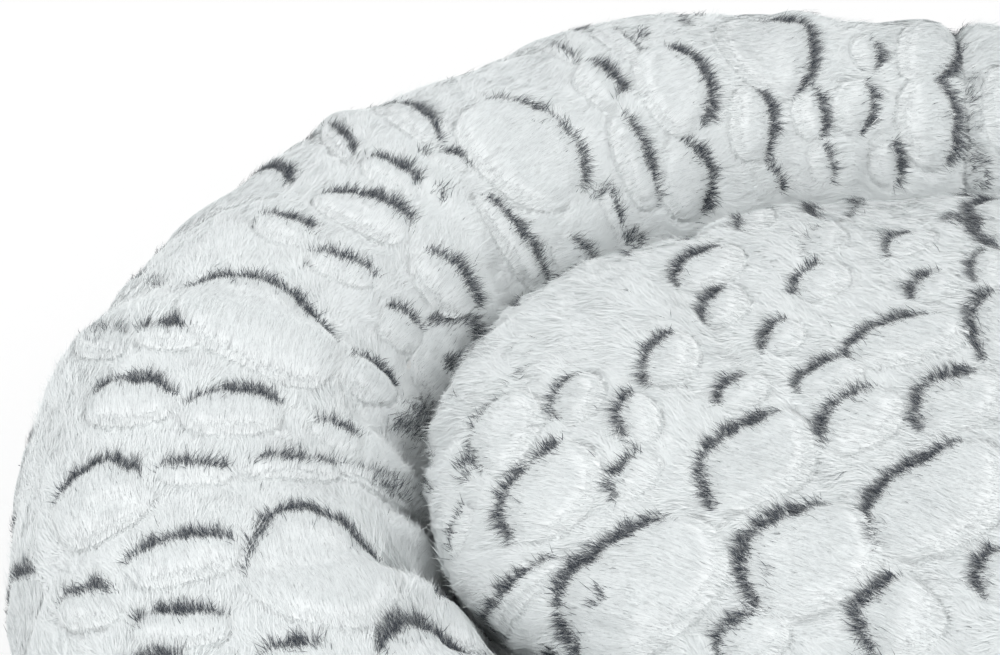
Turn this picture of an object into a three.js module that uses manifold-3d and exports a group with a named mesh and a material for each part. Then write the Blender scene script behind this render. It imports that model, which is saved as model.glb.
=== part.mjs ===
// An oval plush pet bed: a stuffed rim sewn from two plush strips on a layered base, a crowned
// loose cushion in its well, and a filling zip with its slider and pull low on the back wall.
// Millimetres, +Z up, +X along the length, +Y to the back, origin on the floor at the middle.

import * as THREE from "three";
import { mergeVertices } from "three/addons/utils/BufferGeometryUtils.js";
import Module from "manifold-3d";

// Outline of the rim, seen from above: four tangent arcs
const bedLength = 800;
const bedWidth = 650;
const endTightening = 40; // the arcs at the ends have this much less radius than the half width

// Section of the stuffed rim
const rimHeight = 162;
const bulgeHeight = 66; // where the wall stands out furthest
const endRimWidth = 178;
const sideRimWidth = 166;
const footInset = 44; // how far the sewn edge is tucked under the bulge
const coverThickness = 4; // backing and pressed pile
const seamPinchDepth = 8;
const seamPinchReach = 26; // the pinch has all but gone this far from the seam
const seamStationShares = [0.3, 0.65, 1.2]; // sections near a seam, as shares of that reach
const pinchFalloff = 3;
const folds = 15; // soft folds across each half of the rim, deepest against the cushion
const foldWander = 0.15; // how unevenly the folds are spaced
const foldWanderWaves = 3;
const foldDepth = 5;
const crestFoldDepth = 2.6; // the same folds on top of the rim
const stationGap = 4; // sections are no closer together than this

// Base
const panelThickness = 1.5;
const paddingThickness = 12;
const deckThickness = 1.2;
const panelRim = 12; // panel left showing outside the sewn edge
const legClearance = 1.5;
const gap = 0.3; // between pieces that touch

// Cushion
const crownDrop = 11; // crown below the top of the rim
const creaseShare = 0.47; // height of the crease between the bulge and the top of the rim
const cushionGap = 0.8;
const plushThickness = 4;
const liningThickness = 1.5;
const cushionSeamHeight = 30; // above the deck
const cushionCorner = 22; // rounding of the lower edge
const puckerDepth = 1.6;
const puckers = 9; // gathers along the seam on each half
const crownShares = [0.2, 0.42, 0.62, 0.78, 0.89, 0.955, 0.988]; // rings, of the crease's outline
const crownPower = 3; // a higher power gives a flatter crown with a rounder edge

// Zip
const zipLength = 154;
const zipFromSeam = 56;
const zipHeightShare = 0.42; // height of the chain as a share of the bulge height
const tapeWidth = 11;
const tapeThickness = 0.6;
const toothPitch = 4.4;
const toothThickness = 2.4;
const toothHeadWidth = 2.4;
const toothNeckWidth = 1.4;
const toothReach = 1.4; // head past the middle of the chain
const headLength = 1.25;
const railWidth = 1.2;
const stopLength = 2.6;
const sliderLength = 13;
const sliderNose = 4.6; // from the middle of the wedge to the open end
const wingThickness = 1.2;
const flangeWidth = 1;
const wedgeWidth = 1.8;
const bridgeWidth = 2;
const bridgeLength = 6.4;
const bridgeBar = 1;
const pullLength = 24;
const pullWidth = 6.4;
const pullThickness = 1.3;
const pullBar = 1.2;
const pullTaperShare = 0.8; // tail's width, of the head's
const pullRise = 0.95; // pull's pivot above the face of the plush
const seatRelief = 3.4; // filling pressed in behind the slider
const overrun = 3; // cutting bodies reach this far past what they cut

// Fineness
const zipSteps = 10;
const foldSolvingSteps = 24;
const wallSteps = 3;
const bandSteps = 4;
const topSteps = 8;
const innerWallSteps = 2;
const cornerSteps = 3;
const arcSteps = 10;
const wingArcSteps = 3;
const pullArcSteps = 5;

// Sizes that follow from the ones above
const endRadius = bedWidth / 2 - endTightening;
const sideRadius =
  ((bedLength / 2 - endRadius) ** 2 / (bedWidth / 2 - endRadius) + endRadius + bedWidth / 2) / 2;
const sideCentre = bedWidth / 2 - sideRadius;
const tangency = Math.PI / 2 - Math.atan2(-sideCentre, bedLength / 2 - endRadius);
const paddingBottom = panelThickness + gap;
const deckBottom = paddingBottom + paddingThickness + gap;
const deckTop = deckBottom + deckThickness;
const outerFootHeight = panelThickness + gap;
const innerFootHeight = deckTop + gap;
const crownHeight = rimHeight - crownDrop;
const creaseHeight = bulgeHeight + creaseShare * (rimHeight - bulgeHeight);
const chainHeight = outerFootHeight + zipHeightShare * (bulgeHeight - outerFootHeight);
const chainDepth = coverThickness + gap + tapeThickness / 2; // middle of the chain below the plush
const railInner = toothReach + gap;
const railOuter = railInner + railWidth;
const stopInner = wedgeWidth / 2 + 2 * gap;
const sliderHalfWidth = railOuter + gap + flangeWidth;
const slotHalfWidth = sliderHalfWidth + 2 * gap;
const wingInner = toothThickness / 2 + gap;
const wingOuter = wingInner + wingThickness;
const pullHeight = chainDepth + pullRise; // pull's pivot above the middle of the chain

const wasm = await Module();
wasm.setup();

// Length of the side's and the end's part of the crest, and of one half from seam to seam
const sideCrest = (sideRadius - sideRimWidth / 2) * tangency;
const endCrest = (endRadius - endRimWidth / 2) * (Math.PI - 2 * tangency);
const halfCrest = 2 * sideCrest + endCrest;

// How far along the crest of its half a station is, as a share
function crestShare(angle) {
  const alongSide = (sideCrest / tangency) * Math.min(angle, tangency);
  const pastSide = Math.min(Math.max(angle - tangency, 0), Math.PI - 2 * tangency);
  const alongFront = (sideCrest / tangency) * Math.max(angle + tangency - Math.PI, 0);
  return (alongSide + (endCrest / (Math.PI - 2 * tangency)) * pastSide + alongFront) / halfCrest;
}

function angleAtCrest(share) {
  const run = share * halfCrest;
  const onSide = Math.min(run, sideCrest) * (tangency / sideCrest);
  const pastSide = Math.min(Math.max(run - sideCrest, 0), endCrest);
  const onFront = Math.max(run - sideCrest - endCrest, 0) * (tangency / sideCrest);
  return onSide + pastSide * ((Math.PI - 2 * tangency) / endCrest) + onFront;
}

// Folds counted from the back seam: a whole number between two folds, a half in a fold
function foldCount(share) {
  return folds * share - foldWander * Math.sin(2 * Math.PI * foldWanderWaves * share);
}

function angleAtFold(count) {
  let share = count / folds;
  for (let i = 0; i < foldSolvingSteps; i++) {
    share = (count + foldWander * Math.sin(2 * Math.PI * foldWanderWaves * share)) / folds;
  }
  return angleAtCrest(share);
}

// A station is a place on the rim's outline, with its outward direction. The angle runs from the
// centre of the back (0) over the left end to the centre of the front (half a turn).
function station(angle) {
  const outward = new THREE.Vector2(-Math.sin(angle), Math.cos(angle));
  let centre = new THREE.Vector2(0, sideCentre);
  let radius = sideRadius;
  if (angle > tangency) {
    centre = new THREE.Vector2(endRadius - bedLength / 2, 0);
    radius = endRadius;
  }
  if (angle > Math.PI - tangency) {
    centre = new THREE.Vector2(0, -sideCentre);
    radius = sideRadius;
  }
  const fromSeam = Math.min(angle, Math.PI - angle) * sideRadius;
  return {
    angle,
    outward,
    at: centre.addScaledVector(outward, radius),
    halfWidth: (sideRimWidth + (endRimWidth - sideRimWidth) * outward.x ** 2) / 2,
    pinch: seamPinchDepth * Math.exp(-pinchFalloff * (fromSeam / seamPinchReach) ** 2),
    fold: 0.5 - 0.5 * Math.cos(2 * Math.PI * foldCount(crestShare(angle))),
  };
}

// Depth of a full fold round the section: none on the outer wall, most against the cushion
function foldDepthAt(turn) {
  const crest = turn < Math.PI / 2 ? Math.max(0, Math.sin(turn)) : 1;
  const against = turn < Math.PI / 2 ? 0 : turn < Math.PI ? -Math.cos(turn) : 1;
  const fade = turn > Math.PI ? 1 + Math.sin(turn) : 1;
  return (crestFoldDepth * crest + (foldDepth - crestFoldDepth) * against) * fade;
}

function evenly(from, to, steps) {
  return Array.from({ length: steps }, (_, i) => from + ((to - from) * (i + 1)) / steps);
}

const zipStart = zipFromSeam / sideRadius;
const zipEnd = (zipFromSeam + zipLength) / sideRadius;
const zipMargin = (sliderLength + slotHalfWidth) / sideRadius;

// Angles of the stations of one half: close together at the seams, one in and one between all
// folds, and more at the zip if asked
function halfAngles(withZip) {
  const nearSeam = seamStationShares.map((share) => share * seamPinchReach);
  const start = [gap / 2, ...nearSeam].map((distance) => distance / sideRadius);
  const apart = stationGap / sideRadius;
  const from = start[start.length - 1] + apart;
  const zone = [zipStart - zipMargin, zipEnd + zipMargin];
  const atZip = withZip ? [zone[0], ...evenly(zone[0], zone[1], zipSteps)] : [];
  const atFolds = evenly(0, folds, 2 * folds).map((count) => angleAtFold(count));
  const clear = (angle) => atZip.every((other) => Math.abs(other - angle) > apart);
  const between = [...atZip, ...atFolds.filter(clear)]
    .filter((angle) => angle > from && angle < Math.PI - from)
    .sort((a, b) => a - b);
  return [...start, ...between, ...start.map((angle) => Math.PI - angle).reverse()];
}

// A point of the rim's section: turn runs from the outer foot over the top to the inner foot
function rimPoint(place, turn, depth, mirrored) {
  const outer = turn < 0;
  const inner = turn > Math.PI;
  const lower = outer || inner;
  const across = lower ? footInset : place.halfWidth;
  const footHeight = inner ? innerFootHeight : outerFootHeight;
  const upright = lower ? bulgeHeight - footHeight : rimHeight - bulgeHeight;
  const middle = lower ? (place.halfWidth - footInset) * (outer ? 1 : -1) : 0;
  const normal = new THREE.Vector2(Math.cos(turn) / across, Math.sin(turn) / upright).normalize();
  const pinch = place.pinch * (lower ? 1 + Math.sin(turn) : 1);
  const sunk = depth + pinch + place.fold * foldDepthAt(turn);
  const reach = middle + across * Math.cos(turn) - normal.x * sunk - place.halfWidth;
  const height = bulgeHeight + upright * Math.sin(turn) - normal.y * sunk;
  const side = mirrored ? -1 : 1;
  const x = place.at.x + place.outward.x * reach;
  return new THREE.Vector3(side * x, place.at.y + place.outward.y * reach, height);
}

const foot = -Math.PI / 2;
const chainTurn = Math.asin((chainHeight - bulgeHeight) / (bulgeHeight - outerFootHeight));
const wallPerTurn = Math.hypot(
  footInset * Math.sin(chainTurn),
  (bulgeHeight - outerFootHeight) * Math.cos(chainTurn),
);
const tapeReach = (railOuter + 3 * gap + tapeWidth) / wallPerTurn; // as a turn of the section

const aboveFoot = [...evenly(0, Math.PI, topSteps), ...evenly(Math.PI, Math.PI - foot, innerWallSteps)];
const plainTurns = [foot, ...evenly(foot, 0, wallSteps), ...aboveFoot];

// The strip that holds the zip has more turns where the tapes lie against it
const band = [chainTurn - tapeReach, ...evenly(chainTurn - tapeReach, chainTurn + tapeReach, bandSteps)];
const zipTurns = [foot, (foot + band[0]) / 2, ...band, 0, ...aboveFoot];

// Faces of a grid of points, row after row from a first index. Each row and the set of rows is
// either closed in itself or open. Both sides of a sheet are split along the same diagonals.
function gridFaces(rows, rowClosed, setClosed, first = 0, reversed = false) {
  const faces = [];
  const count = rows[0].length;
  for (let i = 0; i < rows.length - (setClosed ? 0 : 1); i++) {
    for (let j = 0; j < count - (rowClosed ? 0 : 1); j++) {
      const here = first + i * count;
      const next = first + ((i + 1) % rows.length) * count;
      const beside = (j + 1) % count;
      const [a, b, c, d] = [here + j, next + j, next + beside, here + beside];
      faces.push(...(reversed ? [a, c, b, a, d, c] : [a, b, c, a, c, d]));
    }
  }
  return faces;
}

// A strip of faces between two edges that run side by side
function edgeFaces(edge, opposite) {
  const faces = [];
  for (let i = 0; i < edge.length - 1; i++) {
    faces.push(edge[i], edge[i + 1], opposite[i + 1], edge[i], opposite[i + 1], opposite[i]);
  }
  return faces;
}

function geometryOf(points, faces) {
  const geometry = new THREE.BufferGeometry().setFromPoints(points);
  geometry.setIndex(faces);
  const merged = mergeVertices(geometry);
  merged.computeVertexNormals();
  return merged;
}

// A ring that closes on itself, from closed sections
function closedRing(rows) {
  return geometryOf(rows.flat(), gridFaces(rows, true, true));
}

// A thick sheet between two grids of points, with its four edges closed
function thickSheet(outerRows, innerRows) {
  const count = outerRows[0].length;
  const size = outerRows.length * count;
  const faces = gridFaces(outerRows, false, false);
  faces.push(...gridFaces(innerRows, false, false, size, true));
  const across = Array.from({ length: count }, (_, j) => j);
  const along = Array.from({ length: outerRows.length }, (_, i) => i * count);
  const lastRow = across.map((j) => j + size - count);
  const lastColumn = along.map((i) => i + count - 1);
  for (const edge of [across, lastColumn, lastRow.reverse(), along.reverse()]) {
    faces.push(...edgeFaces(edge, edge.map((index) => index + size)));
  }
  return geometryOf([...outerRows.flat(), ...innerRows.flat()], faces);
}

// Faces from a point on the middle line to the first ring of a set
function poleFaces(pole, first, count, reversed) {
  const faces = [];
  for (let j = 0; j < count; j++) {
    const beside = first + ((j + 1) % count);
    faces.push(...(reversed ? [pole, beside, first + j] : [pole, first + j, beside]));
  }
  return faces;
}

// A solid of rings between two points on the middle line
function ringedSolid(top, rings, bottom) {
  const count = rings[0].length;
  const pole = rings.length * count;
  const faces = gridFaces(rings, true, false);
  faces.push(...poleFaces(pole, 0, count, false));
  faces.push(...poleFaces(pole + 1, pole - count, count, true));
  return geometryOf([...rings.flat(), top, bottom], faces);
}

function solidOf(geometry) {
  const plain = geometry.clone();
  plain.deleteAttribute("normal");
  plain.deleteAttribute("uv");
  const merged = mergeVertices(plain);
  return new wasm.Manifold(
    new wasm.Mesh({
      numProp: 3,
      vertProperties: new Float32Array(merged.attributes.position.array),
      triVerts: new Uint32Array(merged.index.array),
    }),
  );
}

function geometryOfSolid(solid) {
  const mesh = solid.getMesh();
  const geometry = new THREE.BufferGeometry();
  geometry.setAttribute("position", new THREE.BufferAttribute(mesh.vertProperties, 3));
  geometry.setIndex(new THREE.BufferAttribute(mesh.triVerts, 1));
  geometry.computeVertexNormals();
  return geometry;
}

function extruded(shape, thickness, bottom) {
  const options = { depth: thickness, bevelEnabled: false, curveSegments: arcSteps };
  return new THREE.ExtrudeGeometry(shape, options).translate(0, 0, bottom);
}

// Base: three oval layers of the rim's outline drawn in by an inset

function ovalShape(inset) {
  const shape = new THREE.Shape();
  const quarter = Math.PI / 2;
  const endCentre = bedLength / 2 - endRadius;
  shape.absarc(0, sideCentre, sideRadius - inset, quarter - tangency, quarter + tangency);
  shape.absarc(-endCentre, 0, endRadius - inset, quarter + tangency, 3 * quarter - tangency);
  shape.absarc(0, -sideCentre, sideRadius - inset, 3 * quarter - tangency, 3 * quarter + tangency);
  shape.absarc(endCentre, 0, endRadius - inset, tangency - quarter, quarter - tangency);
  return shape;
}

function basePanel() {
  return extruded(ovalShape(footInset - panelRim), panelThickness, 0);
}

function basePadding() {
  return extruded(ovalShape(footInset + legClearance), paddingThickness, paddingBottom);
}

function baseDeck() {
  return extruded(ovalShape(footInset + legClearance), deckThickness, deckBottom);
}

// Rim: two plush strips that meet at the seams, round one ring of filling

function coverRows(angles, turns, depth, mirrored) {
  const rows = angles.map((angle) => {
    const place = station(angle);
    return turns.map((turn) => rimPoint(place, turn, depth, mirrored));
  });
  return mirrored ? rows.reverse() : rows;
}

function rimCover(angles, turns, mirrored) {
  const outer = coverRows(angles, turns, 0, mirrored);
  return thickSheet(outer, coverRows(angles, turns, coverThickness, mirrored));
}

// The filling lies against the cover and on the deck, and is pressed in behind the zip
function fillingRow(angle, mirrored) {
  const place = station(angle);
  const floor = deckTop + gap;
  const behindZip = !mirrored && angle > zipStart - zipMargin && angle < zipEnd + zipMargin;
  const closest = coverThickness + gap;
  return plainTurns.map((turn) => {
    const pressed = behindZip && turn < 0 ? seatRelief + tapeThickness : 0;
    const point = rimPoint(place, turn, closest + pressed, mirrored);
    point.z = Math.max(point.z, floor);
    return point;
  });
}

function rimFilling(leftAngles, rightAngles) {
  const left = leftAngles.map((angle) => fillingRow(angle, false));
  const right = rightAngles.map((angle) => fillingRow(angle, true)).reverse();
  return closedRing([...left, ...right]);
}

// Zip, drawn along the lower back wall: along the chain, across it, and out of the wall

const wallNormal = new THREE.Vector2(
  Math.cos(chainTurn) / footInset,
  Math.sin(chainTurn) / (bulgeHeight - outerFootHeight),
).normalize();

// The chain's own frame at a station
function chainFrame(angle) {
  const place = station(angle);
  const outward = new THREE.Vector3(
    place.outward.x * wallNormal.x,
    place.outward.y * wallNormal.x,
    wallNormal.y,
  );
  const along = new THREE.Vector3(-place.outward.y, place.outward.x, 0);
  const across = new THREE.Vector3().crossVectors(outward, along);
  const origin = rimPoint(place, chainTurn, chainDepth, false);
  return new THREE.Matrix4().makeBasis(along, across, outward).setPosition(origin);
}

function zipAngles(from, to, steps) {
  return [from, ...evenly(from, to, steps)];
}

// A straight-sided band swept along the chain, flat in the chain's own frame
function chainBand(from, to, steps, low, high, under, over) {
  const rows = zipAngles(from, to, steps).map((angle) => {
    const frame = chainFrame(angle);
    const corner = (across, out) => new THREE.Vector3(0, across, out).applyMatrix4(frame);
    const outer = [corner(low, over), corner(high, over)];
    const inner = [corner(low, under), corner(high, under)];
    return { outer, inner };
  });
  return thickSheet(rows.map((row) => row.outer), rows.map((row) => row.inner));
}

// A band that follows the wall's own curve, such as a tape
function wallBand(from, to, steps, low, high, shallow, deep) {
  const turns = [low, (low + high) / 2, high].map((across) => chainTurn + across / wallPerTurn);
  const rowsAt = (depth) =>
    zipAngles(from, to, steps).map((angle) => {
      const place = station(angle);
      return turns.map((turn) => rimPoint(place, turn, depth, false));
    });
  return thickSheet(rowsAt(shallow), rowsAt(deep));
}

function zipTape(upper) {
  const near = railOuter + gap;
  const [low, high] = upper ? [near, near + tapeWidth] : [-near - tapeWidth, -near];
  const shallow = coverThickness + gap;
  const margin = stopLength / sideRadius;
  const ends = [zipStart - 2 * margin, zipEnd + 2 * margin];
  return wallBand(ends[0], ends[1], 2 * zipSteps, low, high, shallow, shallow + tapeThickness);
}

function leftCover(angles) {
  const reach = [zipStart - zipMargin / 2, zipEnd + zipMargin / 2];
  const [low, high] = [-slotHalfWidth, slotHalfWidth];
  const over = chainDepth + overrun;
  const slot = chainBand(reach[0], reach[1], 2 * zipSteps, low, high, -overrun, over);
  return geometryOfSolid(solidOf(rimCover(angles, zipTurns, false)).subtract(solidOf(slot)));
}

// A tooth seen from outside: a head on a neck, reaching over the middle of the chain
function toothShape() {
  const neck = toothNeckWidth / 2;
  const head = toothHeadWidth / 2;
  const nose = headLength / 3;
  const shape = new THREE.Shape();
  shape.moveTo(neck, railInner + railWidth / 2);
  shape.lineTo(-neck, railInner + railWidth / 2);
  shape.lineTo(-neck, headLength - toothReach);
  shape.lineTo(-head, headLength - toothReach);
  shape.lineTo(-head, nose - toothReach);
  shape.lineTo(nose - head, -toothReach);
  shape.lineTo(head - nose, -toothReach);
  shape.lineTo(head, nose - toothReach);
  shape.lineTo(head, headLength - toothReach);
  shape.lineTo(neck, headLength - toothReach);
  return shape;
}

const teeth = Math.floor(zipLength / toothPitch);
const pitchAngle = toothPitch / (sideRadius - footInset + footInset * Math.cos(chainTurn));

// One row of teeth on the rail that grips the tape's edge
function zipTeeth(upper) {
  const offset = upper ? 0.25 : 0.75;
  const from = zipStart;
  const to = zipStart + teeth * pitchAngle;
  const [low, high] = upper ? [railInner, railOuter] : [-railOuter, -railInner];
  const half = toothThickness / 2;
  let row = solidOf(chainBand(from, to, teeth, low, high, -half, half));
  const tooth = extruded(toothShape(), toothThickness, -half);
  if (!upper) tooth.rotateZ(Math.PI);
  for (let i = 0; i < teeth; i++) {
    const placed = tooth.clone().applyMatrix4(chainFrame(from + (i + offset) * pitchAngle));
    row = row.add(solidOf(placed));
  }
  return geometryOfSolid(row);
}

// Stops: one clip on each row where the closed slider rests, one across both at the far end
function zipStop(low, high) {
  const shape = new THREE.Shape();
  const bevel = gap;
  shape.moveTo(0, low);
  shape.lineTo(stopLength, low + bevel);
  shape.lineTo(stopLength, high - bevel);
  shape.lineTo(0, high);
  return extruded(shape, toothThickness, -toothThickness / 2);
}

// Slider: two wings joined by a wedge at the open end, flanges round the teeth, a bridge on top
function wingShape() {
  const half = sliderLength / 2;
  const waist = sliderHalfWidth - flangeWidth / 2;
  const shape = new THREE.Shape();
  shape.moveTo(half, waist);
  shape.lineTo(-half + sliderNose, sliderHalfWidth);
  shape.quadraticCurveTo(-half, sliderHalfWidth, -half, wedgeWidth);
  shape.lineTo(-half, -wedgeWidth);
  shape.quadraticCurveTo(-half, -sliderHalfWidth, -half + sliderNose, -sliderHalfWidth);
  shape.lineTo(half, -waist);
  return shape;
}

function rectangle(x, y, width, height) {
  const shape = new THREE.Shape();
  shape.moveTo(x, y);
  shape.lineTo(x + width, y);
  shape.lineTo(x + width, y + height);
  shape.lineTo(x, y + height);
  return shape;
}

function sliderBody() {
  const half = sliderLength / 2;
  const wing = { depth: wingThickness, bevelEnabled: false, curveSegments: wingArcSteps };
  const upper = new THREE.ExtrudeGeometry(wingShape(), wing).translate(0, 0, wingInner);
  const lower = new THREE.ExtrudeGeometry(wingShape(), wing).translate(0, 0, -wingOuter);
  const wedge = new THREE.Shape();
  wedge.moveTo(-half + sliderNose, 0);
  wedge.lineTo(-half + sliderNose / 2, wedgeWidth / 2);
  wedge.lineTo(-half, 0);
  wedge.lineTo(-half + sliderNose / 2, -wedgeWidth / 2);
  let body = solidOf(upper).add(solidOf(lower));
  body = body.add(solidOf(extruded(wedge, 2 * wingInner, -wingInner)));
  const flangeDrop = wingInner - tapeThickness / 2 - gap;
  const flangeReach = sliderLength - sliderNose;
  for (const side of [-1, 1]) {
    const low = side > 0 ? railOuter + gap : -railOuter - gap - flangeWidth / 2;
    const flange = rectangle(sliderNose - half, low, flangeReach, flangeWidth / 2);
    body = body.add(solidOf(extruded(flange, flangeDrop + gap, wingInner - flangeDrop)));
    body = body.add(solidOf(extruded(flange, flangeDrop + gap, -wingInner - gap)));
  }
  return geometryOfSolid(body.add(solidOf(sliderBridge())));
}

// The bridge is a bar over the wing, with the gap below it where the pull's bar turns
function sliderBridge() {
  const top = pullHeight + pullBar / 2 + gap + bridgeBar;
  const foot = wingOuter - gap;
  const half = bridgeLength / 2;
  const eye = pullBar / 2 + gap;
  const shape = new THREE.Shape();
  shape.moveTo(-half, foot);
  shape.lineTo(-half, top - bridgeBar);
  shape.lineTo(bridgeBar - half, top);
  shape.lineTo(half - bridgeBar, top);
  shape.lineTo(half, top - bridgeBar);
  shape.lineTo(half, foot);
  shape.lineTo(eye, foot);
  shape.lineTo(eye, pullHeight + eye);
  shape.lineTo(-eye, pullHeight + eye);
  shape.lineTo(-eye, foot);
  const options = { depth: bridgeWidth, bevelEnabled: false };
  const bridge = new THREE.ExtrudeGeometry(shape, options);
  return bridge.rotateX(Math.PI / 2).translate(0, bridgeWidth / 2, 0);
}

// Pull: a tapered tab with a window at its head, whose bar goes under the bridge
function pullTab() {
  const halfHead = pullWidth / 2;
  const halfTail = halfHead * pullTaperShare;
  const windowHalf = bridgeWidth / 2 + gap;
  const windowEnd = bridgeLength / 2 + 2 * gap;
  const shape = new THREE.Shape();
  shape.moveTo(-pullBar / 2, -halfHead);
  shape.lineTo(pullLength - halfTail, -halfTail);
  shape.absarc(pullLength - halfTail, 0, halfTail, -Math.PI / 2, Math.PI / 2);
  shape.lineTo(-pullBar / 2, halfHead);
  const hole = new THREE.Path();
  hole.moveTo(pullBar / 2, -windowHalf);
  hole.lineTo(pullBar / 2, windowHalf);
  hole.lineTo(windowEnd, windowHalf);
  hole.lineTo(windowEnd, -windowHalf);
  shape.holes.push(hole);
  const grip = new THREE.Path();
  grip.absarc(pullLength - halfTail, 0, halfTail / 2, 0, 2 * Math.PI, true);
  shape.holes.push(grip);
  const options = { depth: pullThickness, bevelEnabled: false, curveSegments: pullArcSteps };
  return new THREE.ExtrudeGeometry(shape, options).translate(0, 0, -pullThickness / 2);
}

// Cushion: plush over a crowned top and down the sides, a plain panel below, filling between

// A point that lies against the rim's inner wall at a height, drawn in by an inset
function creasePoint(place, height, inset) {
  const onTop = height > bulgeHeight;
  const rise = onTop ? (height - bulgeHeight) / (rimHeight - bulgeHeight) : 0;
  const across = place.halfWidth * Math.sqrt(1 - rise ** 2);
  const reach = -place.halfWidth - across - inset;
  const x = place.at.x + place.outward.x * reach;
  return new THREE.Vector3(x, place.at.y + place.outward.y * reach, height);
}

// Height of the crown, from the middle (0) to the crease (1)
function domeHeight(share, depth) {
  const rise = Math.sqrt(1 - share ** crownPower);
  return creaseHeight + (crownHeight - creaseHeight) * rise - depth;
}

// One ring of the cushion, right round, from a function that places the left half's points
function fullRing(places, pointAt) {
  const left = places.map((place) => pointAt(place));
  const right = left.map((point) => new THREE.Vector3(-point.x, point.y, point.z)).reverse();
  return [...left, ...right];
}

function domeRings(places, depth) {
  const edge = (place) => creasePoint(place, creaseHeight, cushionGap + depth);
  return crownShares.map((share) =>
    fullRing(places, (place) => {
      const point = edge(place).multiplyScalar(share);
      point.z = domeHeight(share, depth);
      return point;
    }),
  );
}

const cushionFloor = deckTop + gap;
const seamHeight = deckTop + cushionSeamHeight;

// A ring down the side, gathered where it comes near the seam
function sideRing(places, height, inset) {
  const pull = Math.max(0, 1 - Math.abs(height - seamHeight) / cushionCorner);
  return fullRing(places, (place) => {
    const gather = puckerDepth * pull * (0.5 - 0.5 * Math.cos(2 * puckers * place.angle));
    return creasePoint(place, height, cushionGap + inset + gather);
  });
}

// Heights of the rings between the crease and the seam
function sideHeights(depth) {
  const crease = creaseHeight - depth;
  return [crease, (crease + bulgeHeight) / 2, bulgeHeight, (bulgeHeight + seamHeight) / 2];
}

// The plush is a bowl: its outer rings run down to the seam, its inner rings back up
function cushionTop(places) {
  const shell = (depth) => [
    ...domeRings(places, depth),
    ...sideHeights(depth).map((height) => sideRing(places, height, depth)),
    sideRing(places, seamHeight + gap, depth),
  ];
  const pole = (depth) => new THREE.Vector3(0, 0, crownHeight - depth);
  const rings = [...shell(0), ...shell(plushThickness).reverse()];
  return ringedSolid(pole(0), rings, pole(plushThickness));
}

// The lower edge of the cushion is rounded between the seam and the deck
function lowerRings(places, depth) {
  const round = Math.min(cushionCorner, seamHeight - cushionFloor);
  return evenly(0, Math.PI / 2, cornerSteps).map((turn) => {
    const inset = round * (1 - Math.cos(turn)) + depth * Math.cos(turn);
    const height = cushionFloor + (round - depth) * (1 - Math.sin(turn)) + depth;
    return sideRing(places, height, inset);
  });
}

function cushionUnderside(places) {
  const shell = (depth) => [
    sideRing(places, seamHeight, depth),
    ...lowerRings(places, depth),
  ];
  const rings = [...shell(liningThickness).reverse(), ...shell(0)];
  const top = new THREE.Vector3(0, 0, cushionFloor + liningThickness);
  return ringedSolid(top, rings, new THREE.Vector3(0, 0, cushionFloor));
}

function cushionFilling(places) {
  const above = plushThickness + 2 * gap;
  const below = liningThickness + gap;
  const rings = [
    ...domeRings(places, above),
    ...sideHeights(above).map((height) => sideRing(places, height, above)),
    sideRing(places, seamHeight, above),
    ...lowerRings(places, above).map((ring) =>
      ring.map((point) => point.setZ(Math.max(point.z - above + below, cushionFloor + below))),
    ),
  ];
  const top = new THREE.Vector3(0, 0, crownHeight - above);
  return ringedSolid(top, rings, new THREE.Vector3(0, 0, cushionFloor + below));
}

// Assembly

const plush = { color: 0xeceff2, roughness: 0.95, metalness: 0 };
const lining = { color: 0xd9dadb, roughness: 0.9, metalness: 0 };
const underside = { color: 0x3a3c40, roughness: 0.85, metalness: 0 };
const wadding = { color: 0xf4f4f2, roughness: 1, metalness: 0 };
const tape = { color: 0xe3e5e8, roughness: 0.85, metalness: 0 };
const moulded = { color: 0xdfe2e6, roughness: 0.45, metalness: 0 };
const metal = { color: 0xb9bcc0, roughness: 0.3, metalness: 1 };

function addPiece(group, name, geometry, finish) {
  const mesh = new THREE.Mesh(geometry, new THREE.MeshStandardMaterial(finish));
  mesh.name = name;
  group.add(mesh);
  return mesh;
}

function placedGroup(parent, angle) {
  const group = new THREE.Group();
  group.applyMatrix4(chainFrame(angle));
  parent.add(group);
  return group;
}

const bed = new THREE.Group();
const leftAngles = halfAngles(true);
const rightAngles = halfAngles(false);

addPiece(bed, "base_panel", basePanel(), underside);
addPiece(bed, "base_padding", basePadding(), wadding);
addPiece(bed, "base_deck", baseDeck(), lining);
addPiece(bed, "bolster_cover_left", leftCover(leftAngles), plush);
addPiece(bed, "bolster_cover_right", rimCover(rightAngles, plainTurns, true), plush);
addPiece(bed, "bolster_filling", rimFilling(leftAngles, rightAngles), wadding);

addPiece(bed, "zip_tape_upper", zipTape(true), tape);
addPiece(bed, "zip_tape_lower", zipTape(false), tape);
addPiece(bed, "zip_teeth_upper", zipTeeth(true), moulded);
addPiece(bed, "zip_teeth_lower", zipTeeth(false), moulded);

// Closed, the slider stands at the end by the seam, its wedge past the last teeth
const sliderAngle = zipStart - (sliderNose - sliderLength / 2 + gap) / sideRadius;
const closedStops = placedGroup(bed, zipStart - (stopLength + gap) / sideRadius);
addPiece(closedStops, "zip_stop_closed_upper", zipStop(stopInner, railOuter), metal);
addPiece(closedStops, "zip_stop_closed_lower", zipStop(-railOuter, -stopInner), metal);
const openStops = placedGroup(bed, zipStart + teeth * pitchAngle + gap / sideRadius);
addPiece(openStops, "zip_stop_open", zipStop(-railOuter, railOuter), metal);

const slider = placedGroup(bed, sliderAngle);
addPiece(slider, "zip_slider", sliderBody(), metal);
const pull = addPiece(slider, "zip_pull", pullTab(), metal);
pull.position.z = pullHeight;

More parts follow.
